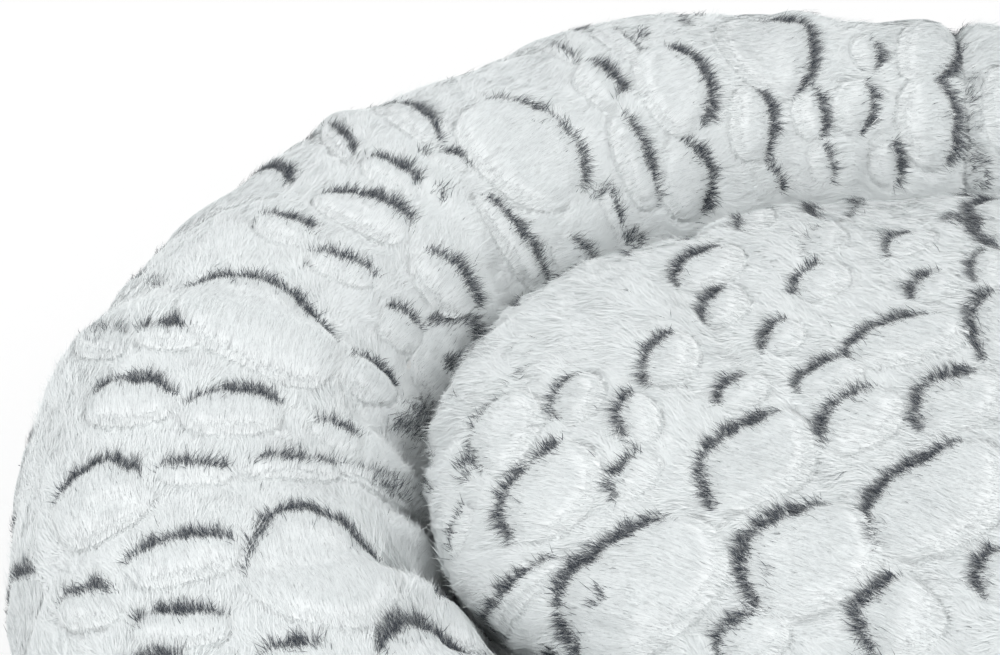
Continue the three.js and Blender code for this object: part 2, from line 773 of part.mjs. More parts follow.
const cushion = new THREE.Group();
const places = rightAngles.filter((_, i) => i % 2 === 0).map((angle) => station(angle));
addPiece(cushion, "cushion_top", cushionTop(places), plush);
addPiece(cushion, "cushion_underside", cushionUnderside(places), lining);
addPiece(cushion, "cushion_filling", cushionFilling(places), wadding);
bed.add(cushion);

export default bed;
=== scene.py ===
import math
import bpy
import numpy as np
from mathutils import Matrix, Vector


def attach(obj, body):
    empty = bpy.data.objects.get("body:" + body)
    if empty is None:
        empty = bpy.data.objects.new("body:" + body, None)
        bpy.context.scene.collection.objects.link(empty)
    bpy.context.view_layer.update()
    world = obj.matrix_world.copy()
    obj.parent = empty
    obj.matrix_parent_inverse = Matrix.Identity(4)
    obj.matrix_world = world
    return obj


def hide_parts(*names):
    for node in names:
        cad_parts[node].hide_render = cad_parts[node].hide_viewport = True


# Oval plush pet bed. The rim and the cushion are stuffed skins with embossed stones, and the pile
# on them is modelled strand by strand. Metres throughout, in the CAD model's own frame.

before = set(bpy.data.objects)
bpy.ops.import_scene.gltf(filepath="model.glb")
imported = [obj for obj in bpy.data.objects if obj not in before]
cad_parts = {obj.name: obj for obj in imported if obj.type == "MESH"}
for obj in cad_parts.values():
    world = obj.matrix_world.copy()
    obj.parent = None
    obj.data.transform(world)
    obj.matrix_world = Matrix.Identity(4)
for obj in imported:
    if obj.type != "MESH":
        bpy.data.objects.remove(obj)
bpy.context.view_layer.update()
dice = np.random.default_rng(20)

# Camera

photoCamera = {
    "azimuth": 3.7,
    "elevation": 41.6,
    "distance": 0.9283,
    "aim": (-0.2078, 0.1115, 0.08),
    "lens": 74.69,
    "sensor": 36.0,
    "picture": (1000, 655),
}


def cameraAxes():
    around = math.radians(photoCamera["azimuth"])
    above = math.radians(photoCamera["elevation"])
    level = math.cos(above)
    back = np.array([math.sin(around) * level, -math.cos(around) * level, math.sin(above)])
    right = np.array([math.cos(around), math.sin(around), 0.0])
    return back, right, np.cross(back, right)


def makeCamera():
    back = cameraAxes()[0]
    place = np.array(photoCamera["aim"]) + back * photoCamera["distance"]
    bpy.ops.object.camera_add(location=place)
    camera = bpy.context.object
    camera.name = "photoCamera"
    camera.data.lens = photoCamera["lens"]
    camera.data.sensor_width = photoCamera["sensor"]
    camera.rotation_mode = "QUATERNION"
    camera.rotation_quaternion = Vector(-back).to_track_quat("-Z", "Y")
    camera.data.clip_start = 0.01
    camera.data.clip_end = 50
    bpy.context.scene.camera = camera
    return place


cameraPlace = makeCamera()
pixelScale = photoCamera["lens"] / photoCamera["sensor"] * photoCamera["picture"][0]
print("camera placed")


def pixelOf(points):
    back, right, up = cameraAxes()
    offset = points - cameraPlace
    depth = -(offset @ back)
    across = photoCamera["picture"][0] / 2 + pixelScale * (offset @ right) / depth
    down = photoCamera["picture"][1] / 2 - pixelScale * (offset @ up) / depth
    return across, down, depth


def pixelRay(across, down):
    back, right, up = cameraAxes()
    ray = right * (across - photoCamera["picture"][0] / 2) / pixelScale
    ray = ray - up * (down - photoCamera["picture"][1] / 2) / pixelScale - back
    return ray / np.linalg.norm(ray)


# Small helpers

def ramp(value, low, high):
    # low may lie above high, for a ramp that falls
    share = np.clip((value - low) / (high - low), 0, 1)
    return share * share * (3 - 2 * share)


def unit(vectors):
    length = np.linalg.norm(vectors, axis=-1, keepdims=True)
    return vectors / np.maximum(length, 1e-12)


def dot(first, second):
    return np.sum(first * second, axis=-1)


def waves(points, size, seed, count=14):
    # smooth seeded bumps of about this size, from -1 to 1
    own = np.random.default_rng(seed)
    total = np.zeros(points.shape[:-1])
    for _ in range(count):
        heading = unit(own.normal(size=3))
        pitch = own.uniform(0.7, 1.5) / size
        total += np.sin(points @ heading * pitch * 2 * math.pi + own.uniform(0, 2 * math.pi))
    return total / math.sqrt(count) / 1.4


def deselectAll():
    for thing in list(bpy.context.selected_objects):
        thing.select_set(False)
    bpy.context.view_layer.objects.active = None


# The shape of the rim, as the CAD model has it

bedShape = {
    "length": 0.8,
    "width": 0.65,
    "endTightening": 0.04,
    "rimHeight": 0.162,
    "bulgeHeight": 0.066,
    "endRimWidth": 0.178,
    "sideRimWidth": 0.166,
    "footInset": 0.044,
    "outerFoot": 0.0018,
    "innerFoot": 0.0156,
    "seamPinch": 0.008,
    "pinchReach": 0.026,
    "folds": 15,
    "foldWander": 0.15,
    "foldWanderWaves": 3,
    "foldDepth": 0.005,
    "crestFoldDepth": 0.0026,
}
endRadius = bedShape["width"] / 2 - bedShape["endTightening"]
endOffset = bedShape["length"] / 2 - endRadius
sideRadius = (endOffset ** 2 / bedShape["endTightening"] + endRadius + bedShape["width"] / 2) / 2
sideCentre = bedShape["width"] / 2 - sideRadius
tangency = math.pi / 2 - math.atan2(-sideCentre, endOffset)


def rimStation(angle):
    # a full turn, from the centre of the back over the left end and the front
    mirrored = angle > math.pi
    half = np.where(mirrored, 2 * math.pi - angle, angle)
    outward = np.stack([-np.sin(half), np.cos(half)], -1)
    atEnd = (half > tangency) & (half < math.pi - tangency)
    centreX = np.where(atEnd, -endOffset, 0.0)
    centreY = np.where(atEnd, 0.0, np.where(half < math.pi / 2, sideCentre, -sideCentre))
    radius = np.where(atEnd, endRadius, sideRadius)
    at = np.stack([centreX, centreY], -1) + outward * radius[..., None]
    spread = bedShape["endRimWidth"] - bedShape["sideRimWidth"]
    halfWidth = (bedShape["sideRimWidth"] + spread * outward[..., 0] ** 2) / 2
    fromSeam = np.minimum(half, math.pi - half) * sideRadius
    side = np.where(mirrored, -1.0, 1.0)
    at[..., 0] *= side
    outward[..., 0] *= side
    return at, outward, halfWidth, fromSeam


sideCrest = (sideRadius - bedShape["sideRimWidth"] / 2) * tangency
endCrest = (endRadius - bedShape["endRimWidth"] / 2) * (math.pi - 2 * tangency)
halfCrest = 2 * sideCrest + endCrest


def foldAt(angle):
    # how deep in a fold a place is, from 0 between two folds to 1
    half = np.where(angle > math.pi, 2 * math.pi - angle, angle)
    alongSide = np.minimum(half, tangency) + np.maximum(half + tangency - math.pi, 0)
    pastSide = np.clip(half - tangency, 0, math.pi - 2 * tangency)
    run = alongSide * sideCrest / tangency + pastSide * endCrest / (math.pi - 2 * tangency)
    share = run / halfCrest
    wander = bedShape["foldWander"] * np.sin(2 * math.pi * bedShape["foldWanderWaves"] * share)
    return 0.5 - 0.5 * np.cos(2 * math.pi * (bedShape["folds"] * share - wander))


def foldDepthAt(turn):
    # no fold on the outer wall, most against the cushion
    crest = np.where(turn < math.pi / 2, np.maximum(0, np.sin(turn)), 1)
    against = np.where(turn < math.pi / 2, 0, np.where(turn < math.pi, -np.cos(turn), 1))
    fade = np.where(turn > math.pi, 1 + np.sin(turn), 1)
    shallow = bedShape["crestFoldDepth"]
    return (shallow * crest + (bedShape["foldDepth"] - shallow) * against) * fade


def rimPoint(angle, turn, depth):
    # turn runs from the outer foot over the top to the inner foot
    at, outward, halfWidth, fromSeam = rimStation(angle)
    outer = turn < 0
    inner = turn > math.pi
    lower = outer | inner
    inset = bedShape["footInset"]
    across = np.where(lower, inset, halfWidth)
    foot = np.where(inner, bedShape["innerFoot"], bedShape["outerFoot"])
    bulge = bedShape["bulgeHeight"]
    upright = np.where(lower, bulge - foot, bedShape["rimHeight"] - bulge)
    middle = np.where(lower, (halfWidth - inset) * np.where(outer, 1, -1), 0)
    normal = unit(np.stack([np.cos(turn) / across, np.sin(turn) / upright], -1))
    pinch = bedShape["seamPinch"] * np.exp(-3 * (fromSeam / bedShape["pinchReach"]) ** 2)
    sunk = depth + pinch * np.where(lower, 1 + np.sin(turn), 1)
    sunk = sunk + foldAt(angle) * foldDepthAt(turn)
    reach = middle + across * np.cos(turn) - normal[..., 0] * sunk - halfWidth
    height = bulge + upright * np.sin(turn) - normal[..., 1] * sunk
    flat = at + outward * reach[..., None]
    return np.concatenate([flat, height[..., None]], -1)


def gridNormals(points):
    along = np.gradient(points, axis=0)
    across = np.gradient(points, axis=1)
    return unit(np.cross(along, across))


# Stuffing: a coarse copy of each skin is blown up as cloth, held where it is sewn, and the puckers
# that it gets are given to the fine skin

pressureLook = {
    "pressure": 0.9,
    "frames": 20,
    "spareCloth": 0.03,
    "bending": 0.05,
    "stride": 3,
    "broad": 60,
    "cap": 0.0016,
    "foldHold": 0.12,
}


def newGridPiece(name, points):
    # a grid primitive whose points are moved to the skin
    rows, columns = points.shape[0] - 1, points.shape[1] - 1
    deselectAll()
    bpy.ops.mesh.primitive_grid_add(x_subdivisions=rows, y_subdivisions=columns, size=2)
    piece = bpy.context.object
    piece.name = name
    piece.data.name = name
    count = len(piece.data.vertices)
    flat = np.empty(count * 3)
    piece.data.vertices.foreach_get("co", flat)
    flat = flat.reshape(-1, 3)
    row = np.rint((flat[:, 0] + 1) / 2 * rows).astype(int)
    column = np.rint((flat[:, 1] + 1) / 2 * columns).astype(int)
    piece.data.vertices.foreach_set("co", points[row, column].ravel())
    piece.data.update()
    piece.data.polygons.foreach_set("use_smooth", np.ones(len(piece.data.polygons), dtype=bool))
    return piece, row, column


def everyFew(count):
    places = np.linspace(0, count - 1, count // pressureLook["stride"])
    return np.unique(np.rint(places).astype(int))


def blownUp(points, sewn):
    # runs the cloth and gives how far each point of the coarse grid has moved
    piece, row, column = newGridPiece("blownSkin", points)
    held = piece.vertex_groups.new(name="sewn")
    weights = sewn[row, column]
    for level in np.unique(np.round(weights, 2)):
        chosen = np.nonzero(np.round(weights, 2) == level)[0]
        if level > 0:
            held.add(chosen.tolist(), float(level), "REPLACE")
    cloth = piece.modifiers.new("stuffing", "CLOTH")
    cloth.settings.use_pressure = True
    cloth.settings.uniform_pressure_force = pressureLook["pressure"]
    cloth.settings.effector_weights.gravity = 0
    cloth.settings.vertex_group_mass = "sewn"
    cloth.settings.shrink_min = -pressureLook["spareCloth"]
    cloth.settings.bending_stiffness = pressureLook["bending"]
    cloth.settings.quality = 6
    cloth.point_cache.frame_start = 1
    cloth.point_cache.frame_end = pressureLook["frames"]
    scene = bpy.context.scene
    for number in range(1, pressureLook["frames"] + 1):
        scene.frame_set(number)
    blown = piece.evaluated_get(bpy.context.evaluated_depsgraph_get()).to_mesh()
    flat = np.empty(len(blown.vertices) * 3)
    blown.vertices.foreach_get("co", flat)
    moved = np.zeros(points.shape)
    moved[row, column] = flat.reshape(-1, 3) - points[row, column]
    mesh = piece.data
    bpy.data.objects.remove(piece, do_unlink=True)
    bpy.data.meshes.remove(mesh)
    scene.frame_set(1)
    return moved


def smoothed(values, passes):
    for _ in range(passes):
        wide = np.pad(values, 1, mode="edge")
        around = wide[:-2, 1:-1] + wide[2:, 1:-1] + wide[1:-1, :-2] + wide[1:-1, 2:]
        values = around / 8 + values / 2
    return values


def spreadOut(values, rows, columns, shape):
    # coarse values given to the fine grid
    tall = [np.interp(np.arange(shape[0]), rows, values[:, k]) for k in range(values.shape[1])]
    full = [np.interp(np.arange(shape[1]), columns, line) for line in np.stack(tall, 1)]
    return smoothed(np.stack(full), 3)


def stuffed(points, normals, sewn, most):
    # the puckers are kept and the broad swell taken off, so that the outline stays
    rows, columns = everyFew(points.shape[0]), everyFew(points.shape[1])
    few = np.ix_(rows, columns)
    moved = dot(blownUp(points[few], sewn[few]), normals[few])
    puckers = moved - smoothed(moved, pressureLook["broad"])
    puckers = spreadOut(puckers, rows, columns, points.shape[:2])
    low, high = float(puckers.min()), float(puckers.max())
    print("cloth puckers from", round(low, 4), "to", round(high, 4))
    puckers = np.clip(puckers, -pressureLook["cap"], most)
    return points + normals * puckers[..., None]


# Where the rim is fuller or slacker than an even oval, as its outline in the photograph shows:
# degrees from the back seam, then metres outwards

rimSwells = [
    (0, -0.0070), (4, -0.0075), (7, -0.0060), (11, -0.0025), (16, 0.0010), (22, 0.0070),
    (27, 0.0045), (33, -0.0005), (36, 0.0005), (42, 0.0015), (47, -0.0045), (54, -0.0045),
    (61, -0.0020), (68, -0.0045), (76, -0.0025), (83, 0.0025), (87, 0.0015), (92, 0.0005),
    (98, -0.0025), (104, -0.0020), (109, -0.0060), (118, -0.0010), (130, 0.0015), (145, -0.0015),
    (160, 0.0010), (172, -0.0030), (180, -0.0060),
]


def swellAt(angle, turn):
    # on the outside and the crest, above the zip
    half = np.degrees(np.minimum(angle, 2 * math.pi - angle))
    places, sizes = np.array(rimSwells).T
    before = np.clip(np.searchsorted(places, half) - 1, 0, len(places) - 2)
    share = ramp(half, places[before], places[before + 1])
    swell = sizes[before] + (sizes[before + 1] - sizes[before]) * share
    return swell * ramp(turn, -0.36, 0.15) * (1 - ramp(turn, 1.7, 2.7))


# Rim skin: the backing of the plush, 3 mm inside the pile's face

rimSkin = {
    "depth": 0.003,
    "columns": 300,
    "rows": 132,
    "lumpSize": 0.09,
    "lumpHeight": 0.0011,
    "foldHeight": 0.002,
    "foldSize": 0.055,
    "seamFill": 0.004,
    "seamFillReach": 0.02,
    "seamGroove": 0.0025,
    "seamReach": 0.005,
    "seamGathers": 0.0010,
    "gatherReach": 0.018,
    "seamGap": 0.0003,
    "underHeight": 0.0163,
    "fill": 0.75,
}

# The slot for the filling zip, low on the back wall: along the wall from the centre seam, and up it

zipSlot = {
    "fromSeam": 0.056,
    "length": 0.154,
    "margin": 0.0089,
    "heightShare": 0.42,
    "halfHeight": 0.0048,
    "turnedIn": 0.0042,
    "bare": 0.0014,
    "edge": 0.0003,
    "columnGap": 0.0012,
    "shortPile": 0.017,
}
zipSlot["start"] = zipSlot["fromSeam"] - zipSlot["margin"]
zipSlot["end"] = zipSlot["fromSeam"] + zipSlot["length"] + zipSlot["margin"]
outerUpright = bedShape["bulgeHeight"] - bedShape["outerFoot"]
chainTurn = math.asin(zipSlot["heightShare"] - 1)
wallPerTurn = math.hypot(
    bedShape["footInset"] * math.sin(chainTurn), outerUpright * math.cos(chainTurn)
)


def slotDistance(angle, turn):
    # how far a place of the rim is from the slot, in metres
    along = angle * sideRadius
    past = np.maximum(np.maximum(zipSlot["start"] - along, along - zipSlot["end"]), 0)
    above = np.abs(turn - chainTurn) * wallPerTurn - zipSlot["halfHeight"]
    return np.hypot(past, np.maximum(above, 0))


def withLines(values, lines, apart):
    # values spread evenly, but with these lines among them
    clear = [value for value in values if min(abs(value - line) for line in lines) > apart]
    return np.sort(np.concatenate([clear, lines]))


def rimAngles(count):
    # columns of one half, spaced evenly along the crest
    fine = np.linspace(0, math.pi, 4001)
    at, outward, halfWidth, _ = rimStation(fine)
    crest = at - outward * halfWidth[:, None]
    step = np.linalg.norm(np.diff(crest, axis=0), axis=1)
    run = np.concatenate([[0], np.cumsum(step)])
    return np.interp(np.linspace(0, run[-1], count), run, fine)


def rimTurns(count):
    fine = np.linspace(-math.pi / 2, 3 * math.pi / 2, 4001)
    places = rimPoint(np.full(fine.shape, 0.7), fine, rimSkin["depth"])
    run = np.concatenate([[0], np.cumsum(np.linalg.norm(np.diff(places, axis=0), axis=1))])
    return np.interp(np.linspace(0, run[-1], count), run, fine)


def rimDisplaced(angle, turn, points, normals):
    # soft lumps, folds at the inner crease and the groove of the cross seams
    _, outward, _, fromSeam = rimStation(angle)
    lumps = waves(points, rimSkin["lumpSize"], 3) * rimSkin["lumpHeight"]
    lumps += waves(points, rimSkin["lumpSize"] / 2.4, 4) * rimSkin["lumpHeight"] * 0.5
    inside = ramp(turn, 1.9, 2.9) * (1 - ramp(turn, 3.9, 4.6))
    flat = points.copy()
    flat[..., 2] *= 0.25
    ridge = 1 - 2 * np.abs(waves(flat, rimSkin["foldSize"], 8, 9))
    bend = ramp(np.abs(outward[..., 0]), 0.25, 0.8)
    folds = (ridge - 0.6) * rimSkin["foldHeight"] * inside * (0.35 + 0.65 * bend)
    groove = rimSkin["seamGroove"] * np.exp(-(fromSeam / rimSkin["seamReach"]) ** 2)
    groove = groove - rimSkin["seamFill"] * np.exp(-(fromSeam / rimSkin["seamFillReach"]) ** 2)
    gathers = np.sin(turn * 26 + 2 * np.sin(turn * 7)) * rimSkin["seamGathers"]
    gathers = gathers * np.exp(-(fromSeam / rimSkin["gatherReach"]) ** 2)
    gathers = gathers * ramp(fromSeam, 0, 0.004)
    calm = ramp(slotDistance(angle, turn), 0.012, 0.03)
    calm = calm * ramp(turn, -1.53, -1.2) * ramp(turn, 4.68, 4.4)
    return points + normals * (calm * (lumps + folds - groove + gathers))[..., None]


def rimHeld(angle, turn):
    # sewn at the feet, the cross seams and the zip, and a little in each fold
    foot = ramp(turn, -1.30, -1.5) + ramp(turn, 4.45, 4.66)
    seam = ramp(rimStation(angle)[3], 0.006, 0.001)
    zipped = ramp(slotDistance(angle, turn), 0.034, 0.018)
    folded = foldAt(angle) * foldDepthAt(turn) / bedShape["foldDepth"] * pressureLook["foldHold"]
    return np.clip(foot + seam + zipped + folded, 0, 1)


def rimFreedom(turn):
    # the wall against the cushion has no room to swell
    return pressureLook["cap"] * (1 - 0.6 * ramp(turn, 2.3, 2.9))


def rimGrid(left):
    angles = rimAngles(rimSkin["columns"])
    angles[0] += rimSkin["seamGap"]
    angles[-1] -= rimSkin["seamGap"]
    fold = zipSlot["edge"]
    reach = zipSlot["halfHeight"] / wallPerTurn
    if left:
        first, last = zipSlot["start"], zipSlot["end"]
        lines = np.array([first, first + fold, last - fold, last]) / sideRadius
        angles = withLines(angles, lines, zipSlot["columnGap"] / sideRadius)
    else:
        angles = 2 * math.pi - angles[::-1]
    fold = fold / wallPerTurn
    lines = chainTurn + np.array([-reach, fold - reach, reach - fold, reach])
    turns = withLines(rimTurns(rimSkin["rows"]), lines, zipSlot["columnGap"] / wallPerTurn)
    angle, turn = np.meshgrid(angles, turns, indexing="ij")
    slot = np.abs(turn - chainTurn) < reach - fold / 2
    along = angle * sideRadius
    slot &= (along > zipSlot["start"] + 0.0001) & (along < zipSlot["end"] - 0.0001)
    points = rimPoint(angle, turn, rimSkin["depth"] - swellAt(angle, turn))
    points = stuffed(points, gridNormals(points), rimHeld(angle, turn), rimFreedom(turn))
    points = rimDisplaced(angle, turn, points, gridNormals(points))
    normals = gridNormals(points)
    turnedIn = rimPoint(angle, turn, zipSlot["turnedIn"])
    points = np.where(slot[..., None], turnedIn, points)
    return {
        "angle": angle, "turn": turn, "points": points, "normals": normals, "slot": slot,
        "hang": ramp(turn, -0.85, -1.15),
    }


leftRim = rimGrid(True)
rightRim = rimGrid(False)
print("rim shaped")

# Cushion skin

cushionSkin = {
    "cells": 200,
    "reach": 1.34,
    "depth": 0.003,
    "wallGap": 0.0008,
    "crease": 0.1111,
    "crown": 0.1555,
    "power": 3,
    "seam": 0.0453,
    "gathers": 9,
    "gatherDepth": 0.0016,
    "lumpHeight": 0.0018,
    "lumpSizes": (0.075, 0.034),
    "foldSize": 0.05,
    "foldHeight": 0.003,
    "fill": 0.7,
}


def wellWall(angle, height, depth):
    # the cushion's side, which follows the rim's inner wall
    at, outward, halfWidth, _ = rimStation(angle)
    bulge = bedShape["bulgeHeight"]
    rise = np.clip((height - bulge) / (bedShape["rimHeight"] - bulge), 0, 1)
    across = halfWidth * np.sqrt(1 - rise ** 2)
    reach = -halfWidth - across - cushionSkin["wallGap"] - depth
    return at + outward * reach[..., None]


def discPlaces(cells, reach):
    # an even square grid pressed into a disc: share of the radius and heading
    line = np.linspace(-1, 1, cells + 1)
    x, y = np.meshgrid(line, line, indexing="ij")
    u = x * np.sqrt(1 - y * y / 2)
    v = y * np.sqrt(1 - x * x / 2)
    return np.hypot(u, v) * reach, np.arctan2(v, u)


def stationAtHeading(heading, height, depth):
    # the station whose wall point lies in this direction from the middle
    fine = np.linspace(0, 2 * math.pi, 4001)
    wall = wellWall(fine, np.full(fine.shape, height), depth)
    around = np.unwrap(np.arctan2(wall[:, 1], wall[:, 0]))
    aim = (heading - around[0]) % (2 * math.pi)
    return np.interp(aim, around - around[0], fine)


def cushionPoints(share, heading):
    depth = cushionSkin["depth"]
    crease = cushionSkin["crease"]
    angle = stationAtHeading(heading, crease, depth)
    rim = wellWall(angle, np.full(angle.shape, crease), depth)
    flat = rim * np.minimum(share, 1)[..., None]
    rise = cushionSkin["crown"] - crease
    dome = crease + rise * np.sqrt(np.clip(1 - np.minimum(share, 1) ** cushionSkin["power"], 0, 1))
    down = np.clip((share - 1) / (cushionSkin["reach"] - 1), 0, 1)
    lower = crease - down * (crease - cushionSkin["seam"])
    side = wellWall(angle, lower, depth)
    gathers = np.cos(angle * 2 * cushionSkin["gathers"]) * cushionSkin["gatherDepth"] * down ** 2
    side = side + rimStation(angle)[1] * gathers[..., None]
    over = share > 1
    height = np.where(over, lower, dome)
    flat = np.where(over[..., None], side, flat)
    return np.concatenate([flat, height[..., None]], -1), angle


def cushionGrid():
    share, heading = discPlaces(cushionSkin["cells"], cushionSkin["reach"])
    points, angle = cushionPoints(share, heading)
    held = ramp(share, cushionSkin["reach"] - 0.05, cushionSkin["reach"] - 0.01)
    freedom = pressureLook["cap"] * (1 - 0.6 * ramp(share, 0.85, 1.0))
    points = stuffed(points, gridNormals(points), held, freedom)
    normals = gridNormals(points)
    broad, fine = cushionSkin["lumpSizes"]
    lumps = waves(points, broad, 11) * cushionSkin["lumpHeight"]
    lumps += waves(points, fine, 12) * cushionSkin["lumpHeight"] * 0.4
    edge = ramp(share, 0.7, 0.95) * (1 - ramp(share, 1.1, 1.3))
    ridge = np.abs(waves(points * [1, 1, 0.2], cushionSkin["foldSize"], 13, 9))
    folds = (0.5 - ridge) * cushionSkin["foldHeight"] * edge
    points = points + normals * (lumps + folds)[..., None]
    return {
        "share": share, "angle": angle, "points": points, "normals": gridNormals(points),
        "hang": np.zeros(share.shape),
    }


cushionTop = cushionGrid()
print("cushion shaped")

# Embossed stones. Those that the photograph shows are named by the pixels they cover: left,
# right, top, bottom, and how far the oval leans, in degrees. The rest are scattered.

stonesOnRim = [
    (178, 342, 268, 362, -22, 0.7), (313, 410, 190, 240, -18), (255, 310, 215, 245, -10),
    (320, 350, 130, 153, -25), (362, 418, 158, 194, -25), (372, 438, 100, 132, -20),
    (430, 470, 150, 172, -20), (310, 374, 253, 287, -20), (413, 472, 252, 322, -50),
    (378, 427, 310, 353, -45), (348, 402, 352, 402, -40), (133, 202, 323, 352, 0),
    (83, 172, 376, 432, 5), (182, 282, 390, 437, 0), (313, 360, 422, 452, -25),
    (46, 150, 458, 552, 20), (158, 232, 463, 487, 0), (250, 342, 457, 482, -5),
    (128, 237, 533, 590, 12), (246, 402, 528, 612, -8), (57, 117, 586, 632, 15),
    (133, 227, 610, 652, 5), (263, 332, 643, 680, 0), (458, 584, 88, 206, -38, 0.7),
    (610, 656, 118, 210, -70), (633, 711, 38, 130, -60), (655, 711, 142, 222, -80),
    (712, 814, 12, 82, -15), (728, 773, 84, 160, -85), (790, 825, 86, 140, -85),
    (832, 873, 80, 132, -85), (895, 958, 77, 163, -88), (850, 879, 36, 70, -70),
    (898, 962, 20, 67, -15), (808, 832, 148, 184, -75), (866, 900, 137, 186, -80),
    (753, 782, 170, 190, -40), (963, 982, 148, 190, -85), (478, 547, 198, 292, -55),
    (553, 592, 238, 282, -50), (573, 622, 63, 107, -40), (536, 572, 43, 60, -25),
    (600, 620, 188, 234, -70), (503, 527, 306, 334, -30), (985, 1040, 60, 150, -88),
    (352, 440, 470, 520, -30, 0.35), (70, 125, 325, 362, 0, 0.35), (590, 640, 25, 58, -30, 0.4),
]
stonesOnCushion = [
    (675, 747, 243, 292, 22), (703, 750, 288, 327, 25), (793, 852, 262, 302, 15),
    (848, 972, 312, 368, 12), (643, 702, 333, 387, 30), (763, 807, 320, 352, 15),
    (718, 772, 373, 410, 20), (888, 937, 230, 252, 10), (738, 777, 208, 234, 15),
    (910, 962, 273, 302, 8), (973, 1010, 248, 287, 10), (553, 607, 373, 422, 35),
    (618, 662, 393, 442, 30), (504, 600, 441, 545, 42), (703, 817, 418, 502, 20),
    (820, 907, 388, 452, 22), (798, 867, 358, 392, 15), (918, 1010, 373, 432, 10),
    (868, 1010, 448, 552, 20), (615, 657, 453, 502, 40), (743, 882, 498, 612, 25),
    (553, 728, 513, 655, 32), (863, 942, 578, 660, 35), (978, 1030, 548, 602, 20),
    (718, 792, 613, 665, 15), (478, 540, 555, 660, 55), (448, 472, 508, 557, 70),
    (472, 545, 396, 466, 45, 0.35), (805, 850, 226, 256, 15, 0.3),
]

# Small dark tufts with no stone: the same pixel values, then how strong they are

wispsOnRim = [
    (410, 436, 402, 448, -65, 0.9), (437, 465, 356, 377, -15, 0.8), (368, 407, 478, 503, -30, 0.5),
    (86, 107, 331, 346, -10, 0.5), (143, 164, 281, 292, 0, 0.5), (634, 646, 30, 42, -45, 0.7),
    (672, 688, 16, 27, -10, 0.6), (621, 642, 230, 250, -10, 1.0), (589, 600, 191, 203, -30, 0.9),
    (430, 451, 186, 207, -45, 0.4), (417, 428, 151, 160, 0, 0.8), (960, 974, 58, 190, -88, 0.3),
]
wispsOnCushion = [
    (460, 480, 455, 485, 70, 0.9), (852, 867, 198, 213, 10, 0.8), (949, 967, 212, 227, 10, 0.8),
    (966, 985, 201, 209, 10, 0.5), (594, 612, 585, 612, 40, 0.5), (524, 538, 345, 382, 65, 0.35),
]

stoneLook = {
    "rise": 0.0014,
    "shoulder": 0.0080,
    "ridge": 0.0005,
    "groove": 0.0010,
    "dip": 0.0008,
    "bandWidth": 0.0034,
    "gapBetween": 0.0035,
    "halfSizes": (0.0075, 0.031),
    "scatteredBand": 1.45,
    "tries": 9000,
}


def napDirection(points, normals, onRim):
    # which way the pile lies: clockwise round the rim, to the left and back on the cushion
    if onRim:
        flat = np.stack([points[..., 0] * 0.66, points[..., 1]], -1)
        way = np.stack([flat[..., 1], -flat[..., 0] * 1.45, np.zeros(points.shape[:-1])], -1)
    else:
        way = np.broadcast_to(np.array([-0.95, 0.3, 0.0]), points.shape)
    way = way - normals * dot(way, normals)[..., None]
    return unit(way)


def surfaceHit(surfaces, across, down):
    # the nearest front-facing skin point under a pixel, moved onto the ray in its own plane
    best = None
    ray = pixelRay(across, down)
    for surface in surfaces:
        near = (np.abs(surface["across"] - across) < 9) & (np.abs(surface["down"] - down) < 9)
        near &= surface["facing"]
        index = np.nonzero(near)[0]
        if not len(index):
            continue
        depth = surface["depthAway"][index]
        front = index[depth < depth.min() + 0.02]
        gap = np.hypot(surface["across"][front] - across, surface["down"][front] - down)
        pick = front[np.argmin(gap)]
        away = surface["depthAway"][pick]
        if best is None or away < best[0]:
            best = (away, surface["flatPoints"][pick], surface["flatNormals"][pick])
    if best is None:
        return None
    _, point, normal = best
    away = np.dot(point - cameraPlace, normal) / np.dot(ray, normal)
    return cameraPlace + ray * away, normal


def seenSurface(grid):
    points = grid["points"].reshape(-1, 3)
    normals = grid["normals"].reshape(-1, 3)
    across, down, depth = pixelOf(points)
    facing = dot(normals, unit(cameraPlace - points)) > 0.12
    return {
        "flatPoints": points, "flatNormals": normals, "across": across, "down": down,
        "depthAway": depth, "facing": facing,
    }


def stoneFromPixels(entry, surfaces):
    left, right, top, bottom, lean = entry[:5]
    strength = entry[5] if len(entry) > 5 else 1.0
    centre = ((left + right) / 2, (top + bottom) / 2)
    halfX, halfY = (right - left) / 2, (bottom - top) / 2
    turn = math.radians(lean)
    # half axes of a leaning oval that fills this box
    c2, s2 = math.cos(turn) ** 2, math.sin(turn) ** 2
    spread = c2 * c2 - s2 * s2
    if abs(spread) > 0.25:
        long2 = (halfX ** 2 * c2 - halfY ** 2 * s2) / spread
        short2 = (halfY ** 2 * c2 - halfX ** 2 * s2) / spread
    else:
        long2, short2 = (halfX ** 2 + halfY ** 2) * 0.68, (halfX ** 2 + halfY ** 2) * 0.32
    smallest = (0.45 * min(halfX, halfY)) ** 2
    longAxis, shortAxis = math.sqrt(max(long2, smallest)), math.sqrt(max(short2, smallest))
    heading = (math.cos(turn), -math.sin(turn))
    hit = surfaceHit(surfaces, *centre)
    if hit is None:
        return None
    ends = []
    for axis, way in ((longAxis, heading), (shortAxis, (-heading[1], heading[0]))):
        ray = pixelRay(centre[0] + way[0] * axis, centre[1] + way[1] * axis)
        away = np.dot(hit[0] - cameraPlace, hit[1]) / np.dot(ray, hit[1])
        ends.append(cameraPlace + ray * away - hit[0])
    return {
        "centre": hit[0], "normal": hit[1], "first": ends[0], "second": ends[1],
        "strength": strength,
    }


